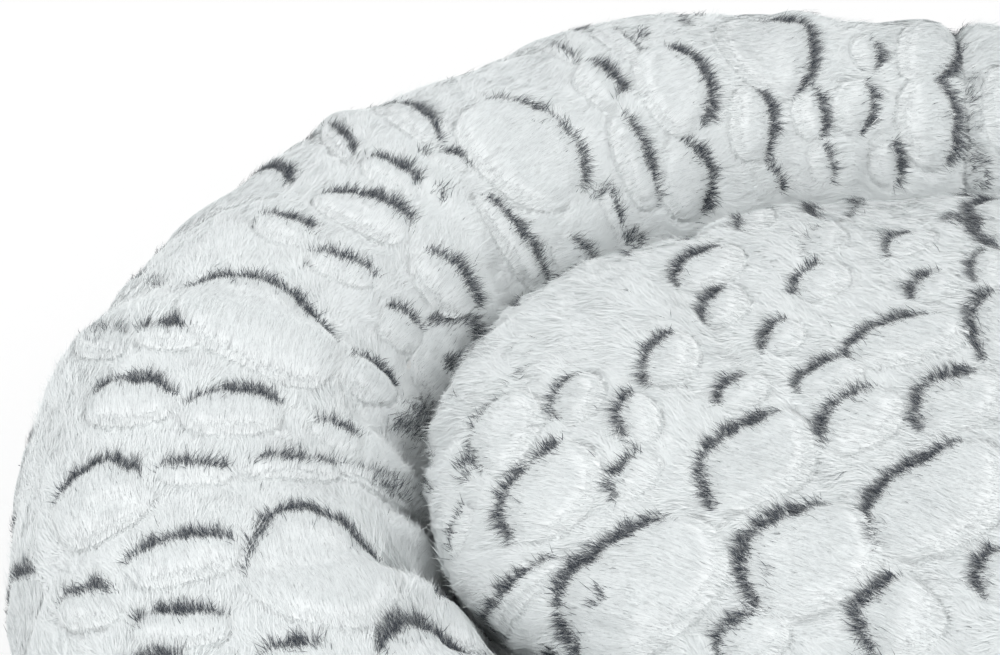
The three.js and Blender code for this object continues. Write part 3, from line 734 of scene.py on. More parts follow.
def scatteredStones(grids, taken, onRim, covers):
    # dart throwing over the skins, big stones first
    low, high = stoneLook["halfSizes"]
    points = np.concatenate([grid["points"].reshape(-1, 3) for grid in grids])
    normals = np.concatenate([grid["normals"].reshape(-1, 3) for grid in grids])
    allowed = np.concatenate([covers(grid).reshape(-1) for grid in grids])
    pool = np.nonzero(allowed)[0]
    tries = stoneLook["tries"] if onRim else stoneLook["tries"] // 3
    picks = dice.choice(pool, tries)
    sizes = low + (high - low) * np.sort(dice.random(tries) ** 3.2)[::-1]
    centres = [stone["centre"] for stone in taken]
    radii = [math.sqrt(np.linalg.norm(s["first"]) * np.linalg.norm(s["second"])) for s in taken]
    made = []
    for pick, size in zip(picks, sizes):
        here = points[pick]
        if centres:
            gaps = np.linalg.norm(np.array(centres) - here, axis=1)
            if np.any(gaps < (np.array(radii) + size * 0.88) + stoneLook["gapBetween"]):
                continue
        normal = normals[pick]
        nap = napDirection(here, normal, onRim)
        lean = dice.normal(0, 0.35)
        side = np.cross(normal, nap)
        longWay = unit(side * math.cos(lean) + nap * math.sin(lean))
        shortWay = np.cross(normal, longWay)
        aspect = dice.uniform(0.55, 0.9)
        stone = {
            "centre": here, "normal": normal, "first": longWay * size / math.sqrt(aspect),
            "second": shortWay * size * math.sqrt(aspect), "strength": 0,
        }
        made.append(stone)
        centres.append(here)
        radii.append(size)
    return made


def seenIn(points, normals, margin):
    across, down, _ = pixelOf(points)
    inside = (across > -margin) & (across < photoCamera["picture"][0] + margin)
    inside &= (down > -margin) & (down < photoCamera["picture"][1] + margin)
    return inside & (dot(normals, unit(cameraPlace - points)) > 0.05)


def rimCovers(grid):
    seen = seenIn(grid["points"], grid["normals"], 0)
    clear = slotDistance(grid["angle"], grid["turn"]) > 0.02
    return (grid["turn"] > -1.45) & (grid["turn"] < 4.6) & clear & ~seen


def cushionCovers(grid):
    seen = seenIn(grid["points"], grid["normals"], 0)
    return (grid["share"] < cushionSkin["reach"] - 0.05) & ~seen


def allStones():
    rimSurfaces = [seenSurface(leftRim), seenSurface(rightRim)]
    cushionSurface = [seenSurface(cushionTop)]
    found = []
    for entries, surfaces in (
        (stonesOnRim, rimSurfaces), (stonesOnCushion, cushionSurface),
        (wispsOnRim, rimSurfaces), (wispsOnCushion, cushionSurface),
    ):
        placed = [stoneFromPixels(entry, surfaces) for entry in entries]
        found.append([stone for stone in placed if stone])
    rim, cushion, rimMarks, cushionMarks = found
    rim += scatteredStones([leftRim, rightRim], rim, True, rimCovers)
    cushion += scatteredStones([cushionTop], cushion, False, cushionCovers)
    for stones, onRim in ((rim + rimMarks, True), (cushion + cushionMarks, False)):
        for stone in stones:
            stone["nap"] = napDirection(stone["centre"], stone["normal"], onRim)
            stone["power"] = dice.uniform(2.0, 2.6)
            stone["bandWidth"] = stoneLook["bandWidth"]
            if not stone["strength"]:
                stone["strength"] = dice.uniform(0.7, 1.0)
                stone["bandWidth"] *= stoneLook["scatteredBand"]
    return rim, cushion, rimMarks, cushionMarks


rimStones, cushionStones, rimWisps, cushionWisps = allStones()
print("stones laid", len(rimStones), len(cushionStones))


def cellOrder(points, size):
    # points sorted into cubes, so that those near a stone are quickly found
    cells = np.floor(points / size).astype(int) + 64
    key = (cells[:, 0] * 128 + cells[:, 1]) * 128 + cells[:, 2]
    order = np.argsort(key, kind="stable")
    return order, key[order]


def stoneField(points, stones):
    # for each point: how far it is inside its stone's edge, and which way is out
    size = 0.03
    order, keys = cellOrder(points, size)
    count = len(points)
    inside = np.full(count, -0.02)
    toward = np.zeros(count)
    outward = np.zeros((count, 3))
    radius = np.full(count, 0.01)
    strength = np.zeros(count)
    width = np.zeros(count)
    for stone in stones:
        first, second = stone["first"], stone["second"]
        spread = max(np.linalg.norm(first), np.linalg.norm(second)) + 0.012
        low = np.floor((stone["centre"] - spread) / size).astype(int) + 64
        high = np.floor((stone["centre"] + spread) / size).astype(int) + 64
        found = []
        for x in range(low[0], high[0] + 1):
            for y in range(low[1], high[1] + 1):
                a = np.searchsorted(keys, (x * 128 + y) * 128 + low[2], "left")
                b = np.searchsorted(keys, (x * 128 + y) * 128 + high[2], "right")
                found.append(order[a:b])
        found = np.concatenate(found)
        offset = points[found] - stone["centre"]
        away = np.linalg.norm(offset, axis=1)
        close = (away < spread) & (np.abs(offset @ stone["normal"]) < 0.03)
        found, offset, away = found[close], offset[close], away[close]
        if not len(found):
            continue
        # the oval's own coordinates, by least squares in its tangent plane
        gram = np.array([[first @ first, first @ second], [first @ second, second @ second]])
        inverse = np.linalg.inv(gram)
        sides = np.stack([offset @ first, offset @ second], -1) @ inverse
        flat = np.linalg.norm(sides[:, :1] * first + sides[:, 1:] * second, axis=1)
        sides = sides * (away / np.maximum(flat, 1e-6))[:, None]
        power = stone["power"]
        share = (np.abs(sides[:, 0]) ** power + np.abs(sides[:, 1]) ** power) ** (1 / power)
        share = np.maximum(share, 1e-4)
        slope = np.abs(sides) ** (power - 1) * np.sign(sides)
        dual = inverse @ np.stack([first, second])
        edgeWay = slope[:, :1] * dual[0] + slope[:, 1:] * dual[1]
        steep = np.linalg.norm(edgeWay, axis=1) / np.maximum(share, 1e-4) ** (power - 1)
        gap = (1 - share) / np.maximum(steep, 1e-6)
        better = gap > inside[found]
        pick = found[better]
        inside[pick] = gap[better]
        outward[pick] = unit(edgeWay)[better]
        toward[pick] = outward[pick] @ stone["nap"]
        radius[pick] = math.sqrt(np.linalg.norm(first) * np.linalg.norm(second))
        strength[pick] = stone["strength"]
        width[pick] = stone["bandWidth"]
    face = ramp(toward, 0.08, 0.75)
    width = width * (0.65 + 0.35 * ramp(radius, 0.006, 0.02)) * face
    width = width * (0.4 + 0.6 * strength) * (1 + 0.4 * waves(points, 0.017, 34))
    width = np.clip(width, 0, radius * 0.5)
    return {
        "inside": inside, "toward": toward, "outward": outward, "radius": radius,
        "strength": strength, "face": face, "band": width,
    }


def stoneHeight(field, inside):
    # a smooth raised stone, with a crisp ridge at its upstream edge and a groove outside that
    small = ramp(field["radius"], 0.004, 0.015)
    core = inside - field["band"]
    behind = ramp(-field["toward"], -0.35, 0.45)
    rise = stoneLook["rise"] * small * ramp(core, -0.001, stoneLook["shoulder"])
    ridge = stoneLook["ridge"] * small * behind * np.exp(-((inside - 0.0011) / 0.0011) ** 2)
    groove = stoneLook["groove"] * behind * np.exp(-((inside + 0.0016) / 0.0014) ** 2)
    groove = groove * (0.4 + 0.6 * small)
    dip = stoneLook["dip"] * field["face"] * np.exp(-((core + 0.0016) / 0.0022) ** 2)
    return rise + ridge - groove - dip


def stoneRelief(field):
    # the height of the pile's bed and how steeply it rises towards the stone's middle
    step = 0.0004
    inside = field["inside"]
    rise = stoneHeight(field, inside + step) - stoneHeight(field, inside - step)
    return stoneHeight(field, inside), rise / (2 * step)


def bandMask(field, inside):
    # dark roots inside the stone's downstream edge, widest where the edge faces the nap
    width = field["band"]
    outer = ramp(inside, -0.0008, 0.0006)
    inner = 1 - ramp(inside, width - 0.0006, width + 0.0008)
    return np.clip(outer * inner * ramp(field["face"], 0.02, 0.3) * field["strength"], 0, 1)


# Skins as meshes

def storeValue(piece, name, values):
    layer = piece.data.attributes.new(name, "FLOAT", "POINT")
    layer.data.foreach_set("value", values.astype(np.float32))


def storeClothMap(piece, along, across):
    # own map of a piece of cloth, in metres
    layer = piece.data.uv_layers.active or piece.data.uv_layers.new(name="cloth")
    layer.name = "cloth"
    corner = np.empty(len(piece.data.loops), dtype=np.int64)
    piece.data.loops.foreach_get("vertex_index", corner)
    places = np.stack([along[corner], across[corner]], -1)
    layer.data.foreach_set("uv", places.ravel())


def finishSkin(grid, stones):
    # the skin lies a little under the pile's roots, which have the relief in full
    shape = grid["points"].shape[:2]
    field = stoneField(grid["points"].reshape(-1, 3), stones)
    height = stoneHeight(field, field["inside"]).reshape(shape)
    grid["band"] = bandMask(field, field["inside"]).reshape(shape)
    if "slot" in grid:
        height = height * ramp(slotDistance(grid["angle"], grid["turn"]), 0.012, 0.024)
    under = (height - 0.0004) * (1 - grid.get("slot", 0))
    grid["skin"] = grid["points"] + grid["normals"] * under[..., None]


for grid, stones in ((leftRim, rimStones), (rightRim, rimStones), (cushionTop, cushionStones)):
    finishSkin(grid, stones)
print("stones embossed")


def onlyThis(piece):
    deselectAll()
    bpy.context.view_layer.objects.active = piece
    piece.select_set(True)


def mergePlaces(piece, reach=1e-6):
    # joins the points that lie in one place, at poles and where a grid meets itself
    onlyThis(piece)
    bpy.ops.object.mode_set(mode="EDIT")
    bpy.ops.mesh.select_all(action="SELECT")
    bpy.ops.mesh.remove_doubles(threshold=reach)
    bpy.ops.object.mode_set(mode="OBJECT")
    piece.select_set(False)


def deleteFaces(piece, chosen):
    onlyThis(piece)
    bpy.context.tool_settings.mesh_select_mode = (False, False, True)
    piece.data.vertices.foreach_set("select", np.zeros(len(piece.data.vertices), dtype=bool))
    piece.data.edges.foreach_set("select", np.zeros(len(piece.data.edges), dtype=bool))
    piece.data.polygons.foreach_set("select", chosen)
    bpy.ops.object.mode_set(mode="EDIT")
    bpy.ops.mesh.delete(type="FACE")
    bpy.ops.object.mode_set(mode="OBJECT")
    piece.select_set(False)


def closedSection(points):
    # under the rim the skin runs back over the base from the inner foot to the outer foot
    first, last = points[:, 0], points[:, -1]
    under = []
    for share in (0.03, 0.35, 0.68, 0.995):
        row = last + (first - last) * share
        row[:, 2] = rimSkin["underHeight"]
        under.append(row)
    closed = np.concatenate([points, np.stack(under, 1), first[:, None]], 1)
    # and at each cross seam the skin is closed by a cap
    centres = closed.mean(1, keepdims=True)
    caps = [centres + (closed - centres) * share for share in (0.0, 0.5)]
    front = [cap[:1] for cap in caps]
    back = [cap[-1:] for cap in caps[::-1]]
    return np.concatenate(front + [closed] + back, 0)


def makeRimSkin(name, grid):
    points = closedSection(grid["skin"])
    rows, columns = grid["skin"].shape[:2]
    piece, row, column = newGridPiece(name, points)
    band = np.zeros(points.shape[:2])
    band[2:rows + 2, :columns] = grid["band"]
    storeValue(piece, "band", band[row, column])
    inner = np.clip(row - 2, 0, rows - 1)
    run = np.cumsum(np.linalg.norm(np.diff(grid["points"][:, 60], axis=0), axis=1))
    run = np.concatenate([[0], run])
    girth = np.cumsum(np.linalg.norm(np.diff(points[rows // 2], axis=0), axis=1))
    girth = np.concatenate([[0], girth])
    storeClothMap(piece, run[inner], girth[column])
    hole = np.zeros(points.shape[:2], dtype=bool)
    hole[2:rows + 2, :columns] = grid["slot"]
    if hole.any():
        # the slot for the zip: faces whose corners are all turned in
        corners = np.empty(len(piece.data.loops), dtype=np.int64)
        piece.data.loops.foreach_get("vertex_index", corners)
        deleteFaces(piece, hole[row, column][corners].reshape(-1, 4).all(1))
    mergePlaces(piece)
    return piece


rimLeft = makeRimSkin("rim_cover_left", leftRim)
rimRight = makeRimSkin("rim_cover_right", rightRim)


def makeCushionSkin():
    piece, row, column = newGridPiece("cushion_cover", cushionTop["skin"])
    storeValue(piece, "band", cushionTop["band"][row, column])
    flat = cushionTop["points"][row, column]
    storeClothMap(piece, flat[:, 0], flat[:, 1])
    return piece


cushionPlush = makeCushionSkin()
print("skins meshed")

# Fillings, base, lining and tapes: plain shells on rings round the bed

def ringPiece(name, rings, closeRound=True):
    # rings of points from a pole or an edge to the next, each a full turn; a map in metres
    points = np.stack(rings, 0)
    if closeRound:
        points = np.concatenate([points, points[:, :1]], 1)
    piece, row, column = newGridPiece(name, points)
    along = np.linalg.norm(np.diff(points, axis=1), axis=2).max(0).cumsum()
    across = np.linalg.norm(np.diff(points, axis=0), axis=2).max(1).cumsum()
    along = np.concatenate([[0], along])
    across = np.concatenate([[0], across])
    storeClothMap(piece, along[column], across[row])
    mergePlaces(piece)
    return piece


def turnOutwards(piece):
    onlyThis(piece)
    bpy.ops.object.mode_set(mode="EDIT")
    bpy.ops.mesh.select_all(action="SELECT")
    bpy.ops.mesh.normals_make_consistent(inside=False)
    bpy.ops.object.mode_set(mode="OBJECT")
    piece.select_set(False)


def ovalRing(angles, inset, share, height):
    at, outward, _, _ = rimStation(angles)
    flat = (at - outward * inset) * share
    return np.concatenate([flat, np.full((len(flat), 1), height)], 1)


def evenAngles(count):
    half = rimAngles(count // 2 + 1)[:-1]
    return np.concatenate([half, math.pi + half])


stuffingLook = {"depth": 0.0080, "behindZip": 0.003, "columns": 240, "rows": 44, "lumps": 0.0012}


def makeRimStuffing():
    # a ring of fibre inside the rim, pressed in behind the zip
    angles = evenAngles(stuffingLook["columns"])
    turns = np.linspace(-math.pi / 2, 3 * math.pi / 2, stuffingLook["rows"], endpoint=True)
    turn, angle = np.meshgrid(turns, angles, indexing="ij")
    pressed = ramp(slotDistance(angle, turn), 0.022, 0.014) * stuffingLook["behindZip"]
    depth = stuffingLook["depth"] + pressed - swellAt(angle, turn)
    points = rimPoint(angle, turn, depth)
    lumps = (0.5 + 0.5 * waves(points, 0.02, 51)) * stuffingLook["lumps"]
    points = rimPoint(angle, turn, depth + np.clip(lumps, 0, None))
    points[..., 2] = np.maximum(points[..., 2], rimSkin["underHeight"] + 0.0002)
    rings = list(points) + [points[0]]
    piece = ringPiece("rim_stuffing", rings)
    turnOutwards(piece)
    return piece


baseLook = {
    "panelInset": 0.032,
    "panel": (0.0005, 0.0015),
    "innerInset": 0.0455,
    "wadding": (0.0018, 0.0138),
    "lining": (0.0141, 0.0153),
    "dotPitch": 0.0165,
    "dotRadius": 0.0026,
    "dotSides": 6,
    "dotHeight": 0.0008,
    "dotTop": 0.62,
    "dotMargin": 0.004,
    "stitchInset": 0.0385,
    "stitchLength": 0.0036,
    "stitchThickness": 0.0005,
}


def ovalSlab(name, inset, heights, edge, puff=0.0):
    # a flat layer with a soft edge, closed all round
    low, high = heights
    middle = (low + high) / 2
    angles = evenAngles(220)
    shares = (0.0, 0.25, 0.5, 0.72, 0.88, 0.97)
    rings = [ovalRing(angles, inset + edge, share, low) for share in shares]
    for turn in np.radians((-90, -60, -30, 0, 30, 60, 90)):
        reach = inset + edge * (1 - math.cos(turn))
        rings.append(ovalRing(angles, reach, 1, middle + (high - middle) * math.sin(turn)))
    rings += [ovalRing(angles, inset + edge, share, high) for share in shares[::-1]]
    for ring in rings:
        inward = puff * (0.5 + 0.5 * waves(ring, 0.03, 52))
        ring[:, 2] += np.clip(inward, 0, puff) * np.sign(middle - ring[:, 2])
    piece = ringPiece(name, rings)
    turnOutwards(piece)
    return piece


def copiesAsOne(name, pattern, places, firsts, seconds, thirds):
    # one small shape, modelled once and set down many times with its own three directions
    count = len(pattern.data.vertices)
    shape = np.empty(count * 3)
    pattern.data.vertices.foreach_get("co", shape)
    shape = shape.reshape(-1, 3)
    faces = [tuple(face.vertices) for face in pattern.data.polygons]
    points = (
        places[:, None] + shape[None, :, :1] * firsts[:, None]
        + shape[None, :, 1:2] * seconds[:, None] + shape[None, :, 2:] * thirds[:, None]
    )
    mesh = bpy.data.meshes.new(name)
    everyFace = []
    for number in range(len(places)):
        everyFace += [tuple(corner + number * count for corner in face) for face in faces]
    mesh.from_pydata(points.reshape(-1, 3).tolist(), [], everyFace)
    mesh.polygons.foreach_set("use_smooth", np.ones(len(mesh.polygons), dtype=bool))
    mesh.update()
    piece = bpy.data.objects.new(name, mesh)
    bpy.context.scene.collection.objects.link(piece)
    bpy.data.objects.remove(pattern, do_unlink=True)
    return piece


def dotPattern():
    # a low rubber dome that points down: a cylinder whose lower end is drawn in
    deselectAll()
    bpy.ops.mesh.primitive_cylinder_add(
        vertices=baseLook["dotSides"], radius=baseLook["dotRadius"], depth=baseLook["dotHeight"],
        end_fill_type="TRIFAN", location=(0, 0, 0),
    )
    dome = bpy.context.object
    for vertex in dome.data.vertices:
        if vertex.co.z < 0:
            reach = math.hypot(vertex.co.x, vertex.co.y)
            vertex.co.x *= baseLook["dotTop"]
            vertex.co.y *= baseLook["dotTop"]
            vertex.co.z = -0.0004 if reach < 1e-5 else -0.00022
    return dome


def makeDots():
    pitch = baseLook["dotPitch"]
    inset = baseLook["stitchInset"] + baseLook["dotMargin"]
    edge = ovalRing(np.linspace(0, 2 * math.pi, 721), inset, 1, 0)
    heading = np.arctan2(edge[:, 1], edge[:, 0]) % (2 * math.pi)
    order = np.argsort(heading)
    reach = np.linalg.norm(edge[:, :2], axis=1)
    places = []
    for row in range(-24, 25):
        for column in range(-30, 31):
            x = (column + 0.5 * (row % 2)) * pitch
            y = row * pitch * math.sqrt(3) / 2
            limit = np.interp(math.atan2(y, x) % (2 * math.pi), heading[order], reach[order])
            if math.hypot(x, y) < limit:
                places.append((x, y, baseLook["dotHeight"] / 2))
    places = np.array(places)
    ones = np.ones((len(places), 1))
    return copiesAsOne(
        "base_dots", dotPattern(), places, ones * (1, 0, 0), ones * (0, 1, 0), ones * (0, 0, 1)
    )


def stitchPattern(length, thickness):
    # one stitch: a short thread that dips at both ends
    deselectAll()
    bpy.ops.mesh.primitive_cylinder_add(
        vertices=6, radius=thickness / 2, depth=length, rotation=(0, math.pi / 2, 0)
    )
    stitch = bpy.context.object
    bpy.ops.object.transform_apply(location=False, rotation=True, scale=False)
    bpy.ops.object.mode_set(mode="EDIT")
    bpy.ops.mesh.select_all(action="SELECT")
    bpy.ops.mesh.bisect(plane_co=(length * 0.3, 0, 0), plane_no=(1, 0, 0))
    bpy.ops.mesh.select_all(action="SELECT")
    bpy.ops.mesh.bisect(plane_co=(-length * 0.3, 0, 0), plane_no=(1, 0, 0))
    bpy.ops.object.mode_set(mode="OBJECT")
    for vertex in stitch.data.vertices:
        if abs(vertex.co.x) > length * 0.4:
            vertex.co.z -= thickness * 0.8
    return stitch


def stitchLine(name, path, ups, length, thickness):
    # stitches along a line of points, head to tail with a small gap
    run = np.concatenate([[0], np.cumsum(np.linalg.norm(np.diff(path, axis=0), axis=1))])
    count = int(run[-1] / (length * 1.35))
    at = (np.arange(count) + 0.5) / count * run[-1]
    places = np.stack([np.interp(at, run, path[:, k]) for k in range(3)], -1)
    after = np.stack([np.interp(at + length * 0.4, run, path[:, k]) for k in range(3)], -1)
    before = np.stack([np.interp(at - length * 0.4, run, path[:, k]) for k in range(3)], -1)
    along = unit(after - before)
    up = unit(np.stack([np.interp(at, run, ups[:, k]) for k in range(3)], -1))
    side = unit(np.cross(up, along))
    pattern = stitchPattern(length, thickness)
    return copiesAsOne(name, pattern, places, along, side, np.cross(along, side))


def makeBase():
    panel = ovalSlab("base_underside", baseLook["panelInset"], baseLook["panel"], 0.0005)
    wadding = ovalSlab("base_wadding", baseLook["innerInset"], baseLook["wadding"], 0.005, 0.0008)
    lining = ovalSlab("base_lining", baseLook["innerInset"], baseLook["lining"], 0.0006)
    dots = makeDots()
    path = ovalRing(np.linspace(0, 2 * math.pi, 900), baseLook["stitchInset"], 1, 0.00035)
    ups = np.tile([0.0, 0.0, -1.0], (len(path), 1))
    length, thickness = baseLook["stitchLength"], baseLook["stitchThickness"]
    seam = stitchLine("base_stitching", path, ups, length, thickness)
    return panel, wadding, lining, dots, seam


liningLook = {
    "round": 0.022,
    "floor": 0.0156,
    "seam": 0.0453,
    "depth": 0.0006,
    "thickness": 0.0009,
    "columns": 240,
    "stuffingDepth": 0.0080,
    "stuffingColumns": 160,
    "crownGap": 0.006,
}


def wellRing(angles, height, inset, gather):
    # a ring down the side of the cushion, drawn in by its gathers near the seam
    near = np.clip(1 - abs(height - liningLook["seam"]) / liningLook["round"], 0, 1)
    pulled = (0.5 - 0.5 * np.cos(angles * 2 * cushionSkin["gathers"])) * gather * near
    flat = wellWall(angles, np.full(angles.shape, height), inset)
    flat = flat - rimStation(angles)[1] * pulled[:, None]
    return np.concatenate([flat, np.full((len(flat), 1), height)], 1)


def lowerRings(angles, depth):
    # from the seam round the lower edge and in over the floor, to the pole
    rings = [wellRing(angles, liningLook["seam"] - 0.0003, depth, cushionSkin["gatherDepth"])]
    bend = min(liningLook["round"], liningLook["seam"] - liningLook["floor"])
    for turn in np.radians(np.linspace(0, 90, 9)):
        inset = bend * (1 - math.cos(turn)) + depth * math.cos(turn)
        height = liningLook["floor"] + (bend - depth) * (1 - math.sin(turn)) + depth
        rings.append(wellRing(angles, height, inset, cushionSkin["gatherDepth"]))
    for share in (0.92, 0.78, 0.55, 0.3, 0.0):
        ring = rings[9].copy()
        ring[:, :2] *= share
        rings.append(ring)
    return rings


def makeCushionLining():
    angles = evenAngles(liningLook["columns"])
    rings = lowerRings(angles, liningLook["depth"])
    for ring in rings[1:-1]:
        ring[:, 2] += np.clip(waves(ring, 0.05, 61), 0, 1) * 0.0004
    piece = ringPiece("cushion_lining", rings)
    turnOutwards(piece)
    solid = piece.modifiers.new("cloth", "SOLIDIFY")
    solid.thickness = liningLook["thickness"]
    solid.offset = -1
    applyModifier(piece, solid)
    return piece


def applyModifier(piece, modifier):
    onlyThis(piece)
    bpy.ops.object.modifier_apply(modifier=modifier.name)
    piece.select_set(False)


def makeCushionStuffing():
    # one closed body: crown, side and the rounded lower edge
    angles = evenAngles(liningLook["stuffingColumns"])
    depth = liningLook["stuffingDepth"]
    crease, crown = cushionSkin["crease"], cushionSkin["crown"] - liningLook["crownGap"]
    edge = wellWall(angles, np.full(angles.shape, crease), depth)
    rings = []
    for share in (0.0, 0.2, 0.4, 0.6, 0.76, 0.88, 0.95, 0.985):
        height = crease - depth + (crown - crease) * math.sqrt(1 - share ** cushionSkin["power"])
        flat = edge * share
        rings.append(np.concatenate([flat, np.full((len(flat), 1), height)], 1))
    for height in np.linspace(crease - depth, liningLook["seam"] + 0.004, 7):
        rings.append(wellRing(angles, height, depth, cushionSkin["gatherDepth"]))
    rings += lowerRings(angles, depth - 0.004)[1:]
    for ring in rings[15:]:
        ring[:, 2] = np.maximum(ring[:, 2], liningLook["floor"] + 0.0018)
    for ring in rings:
        ring[:, 2] -= np.clip(waves(ring, 0.02, 62), 0, 1) * 0.0008 * (ring[:, 2] > 0.08)
    piece = ringPiece("cushion_stuffing", rings)
    turnOutwards(piece)
    return piece


tapeLook = {
    "near": 0.0032,
    "far": 0.0142,
    "depth": 0.0046,
    "thickness": 0.0005,
    "beyond": 0.0085,
    "columns": 120,
    # how far past the chain's ends the two tapes come together, and how near each other
    "closedJoin": (0.0070, 0.0077),
    "openJoin": (0.0048, 0.0060),
    "meeting": 0.0002,
    # the stitches along the slot
    "stitchAcross": 0.0070,
    "stitchBeyond": 0.006,
    "stitchLength": 0.0032,
    "stitchThickness": 0.00055,
}


def makeTape(name, upper):
    # woven tape along the inside of the slot, whose edge the teeth grip
    ends = [zipSlot["start"] - tapeLook["beyond"], zipSlot["end"] + tapeLook["beyond"]]
    closedEnd, openEnd = zipSlot["fromSeam"], zipSlot["fromSeam"] + zipSlot["length"]
    closedFrom, closedTo = tapeLook["closedJoin"]
    openFrom, openTo = tapeLook["openJoin"]
    joins = [closedEnd - closedTo, closedEnd - closedFrom, openEnd + openFrom, openEnd + openTo]
    along = np.linspace(ends[0], ends[1], tapeLook["columns"])
    angles = withLines(along, joins, 0.0003) / sideRadius
    steps = np.array([0, 0.03, 0.09, 0.2, 0.38, 0.57, 0.8, 1])
    before = ramp(closedEnd - angles * sideRadius, closedFrom, closedTo)
    after = ramp(angles * sideRadius - openEnd, openFrom, openTo)
    near = tapeLook["near"] + (tapeLook["meeting"] - tapeLook["near"]) * np.maximum(before, after)
    across = near + (tapeLook["far"] - near) * steps[:, None]
    if not upper:
        across = -across[::-1]
    turn, angle = chainTurn + across / wallPerTurn, np.broadcast_to(angles, across.shape)
    points = rimPoint(angle, turn, tapeLook["depth"])
    piece = ringPiece(name, list(points), closeRound=False)
    solid = piece.modifiers.new("weave", "SOLIDIFY")
    solid.thickness = tapeLook["thickness"]
    solid.offset = 0
    applyModifier(piece, solid)
    turnOutwards(piece)
    return piece


def makeSlotStitches(name, across):
    first, last = zipSlot["start"] - tapeLook["stitchBeyond"], zipSlot["end"] + tapeLook["stitchBeyond"]
    angles = np.linspace(first, last, 160) / sideRadius
    turns = np.full(angles.shape, chainTurn + across / wallPerTurn)
    path = rimPoint(angles, turns, rimSkin["depth"] - 0.0002)
    further = rimPoint(angles, turns, rimSkin["depth"] - 0.0012)
    length, thickness = tapeLook["stitchLength"], tapeLook["stitchThickness"]
    return stitchLine(name, path, further - path, length, thickness)


rimStuffing = makeRimStuffing()
basePanel, baseWadding, baseLining, baseDots, baseStitching = makeBase()
cushionLining = makeCushionLining()
cushionStuffing = makeCushionStuffing()
tapeUpper = makeTape("zip_tape_above", True)
tapeLower = makeTape("zip_tape_below", False)
stitchesAbove = makeSlotStitches("zip_stitching_above", tapeLook["stitchAcross"])
stitchesBelow = makeSlotStitches("zip_stitching_below", -tapeLook["stitchAcross"])
print("fillings, base, lining and tapes made")

# Pile

pileLook = {
    # hairs on each square metre, where the photograph looks and elsewhere, and the extra in a band
    "nearDensity": 4.75e6,
    "farDensity": 0.33e6,
    "bandExtra": 0.9,
    # the area that the photograph shows, in pixels, and how softly it ends
    "viewCentre": (500, 327),
    "viewHalf": (515, 342),
    "viewFade": 120,
    # widths and lengths
    "nearWidth": 0.00031,
    "farWidth": 0.00134,
    "darkWidth": 0.72,
    "widths": (0.75, 1.25),
    "length": 0.0075,
    "stoneLength": 0.0054,
    "bandLength": 0.0062,
    "lengths": (0.7, 1.15),
    "overBand": 0.0042,
    "shortest": (0.0018, 0.0014),
    "strays": 0.03,
    "strayLength": 1.2,
    # angles above the skin, in degrees
    "lift": 10,
    "stoneLift": 8,
    "bandLift": 24,
    "bandLiftSpread": 10,
    "strayLift": 12,
    "liftLimits": (3, 70),
    # how hairs wander from the nap, and fan out of a stone
    "swayBroad": 0.45,
    "swayFine": 0.55,
    "fan": 0.45,
    "curl": 0.12,
    "wavy": 0.30,
    # tufts
    "clumpSize": 0.0060,
    "clumping": 0.36,
    "tuftSize": 0.011,
    "tuftTilt": 0.11,
    # dark hairs: edge of a band, white ones in it, and dark ones on the stone and loose
    "ragged": 0.0007,
    "whiteInBand": 0.14,
    "comb": 0.34,
    "combReach": 0.0026,
    "loose": 0.16,
    # grey at the roots: between the stones, in streaks, as painted shadow in the groove round a stone,
    # and single grey hairs
    "wispGrey": 0.42,
    "streakGrey": 0.36,
    "grooveShadowGrey": 0.36,
    "greyShare": 0.20,
    "greyTones": (0.12, 0.46),
    "floorGap": 0.0006,
}


def hashed(cells, salt):
    # a repeatable number from 0 to 1 for whole-number cells
    key = (cells[:, 0] * 73856093) ^ (cells[:, 1] * 19349663)
    key = key ^ (cells[:, 2] * 83492791) ^ (salt * 2654435761)
    key = (key ^ (key >> 13)) * 1274126177
    key = key ^ (key >> 16)
    return (key & 0xFFFFFF) / float(0xFFFFFF)


def pileRoots(grid, allowed):
    # roots spread over the skin by area, more of them where the photograph looks
    points = grid["points"]
    corners = [points[:-1, :-1], points[1:, :-1], points[1:, 1:], points[:-1, 1:]]
    area = np.linalg.norm(np.cross(corners[2] - corners[0], corners[3] - corners[1]), axis=-1) / 2
    centre = sum(corners) / 4
    normals = grid["normals"][:-1, :-1]
    across, down, _ = pixelOf(centre)
    middle, half = pileLook["viewCentre"], pileLook["viewHalf"]
    outside = np.maximum(np.abs(across - middle[0]) - half[0], np.abs(down - middle[1]) - half[1])
    near = 1 - ramp(outside, 0, pileLook["viewFade"])
    near = near * ramp(dot(normals, unit(cameraPlace - centre)), -0.25, -0.05)
    density = pileLook["farDensity"] + (pileLook["nearDensity"] - pileLook["farDensity"]) * near
    density = density * (1 + pileLook["bandExtra"] * grid["band"][:-1, :-1])
    expected = (area * density * allowed[:-1, :-1]).ravel()
    counts = np.floor(expected + dice.random(expected.shape)).astype(int)
    cell = np.repeat(np.arange(len(counts)), counts)
    rows, columns = np.unravel_index(cell, area.shape)
    s, t = dice.random(len(cell)), dice.random(len(cell))
    weights = [(1 - s) * (1 - t), s * (1 - t), s * t, (1 - s) * t]
    shifts = [(0, 0), (1, 0), (1, 1), (0, 1)]
    root = 0
    normal = 0
    for weight, (a, b) in zip(weights, shifts):
        root = root + weight[:, None] * points[rows + a, columns + b]
        normal = normal + weight[:, None] * grid["normals"][rows + a, columns + b]
    return root, unit(normal), near.ravel()[cell], rows, columns


def turned(vectors, axes, angle):
    # vectors turned about axes at right angles to them
    return vectors * np.cos(angle)[:, None] + np.cross(axes, vectors) * np.sin(angle)[:, None]


def leaning(way, normal, lift):
    # raised from the skin by an angle
    return way * np.cos(lift)[:, None] + normal * np.sin(lift)[:, None]


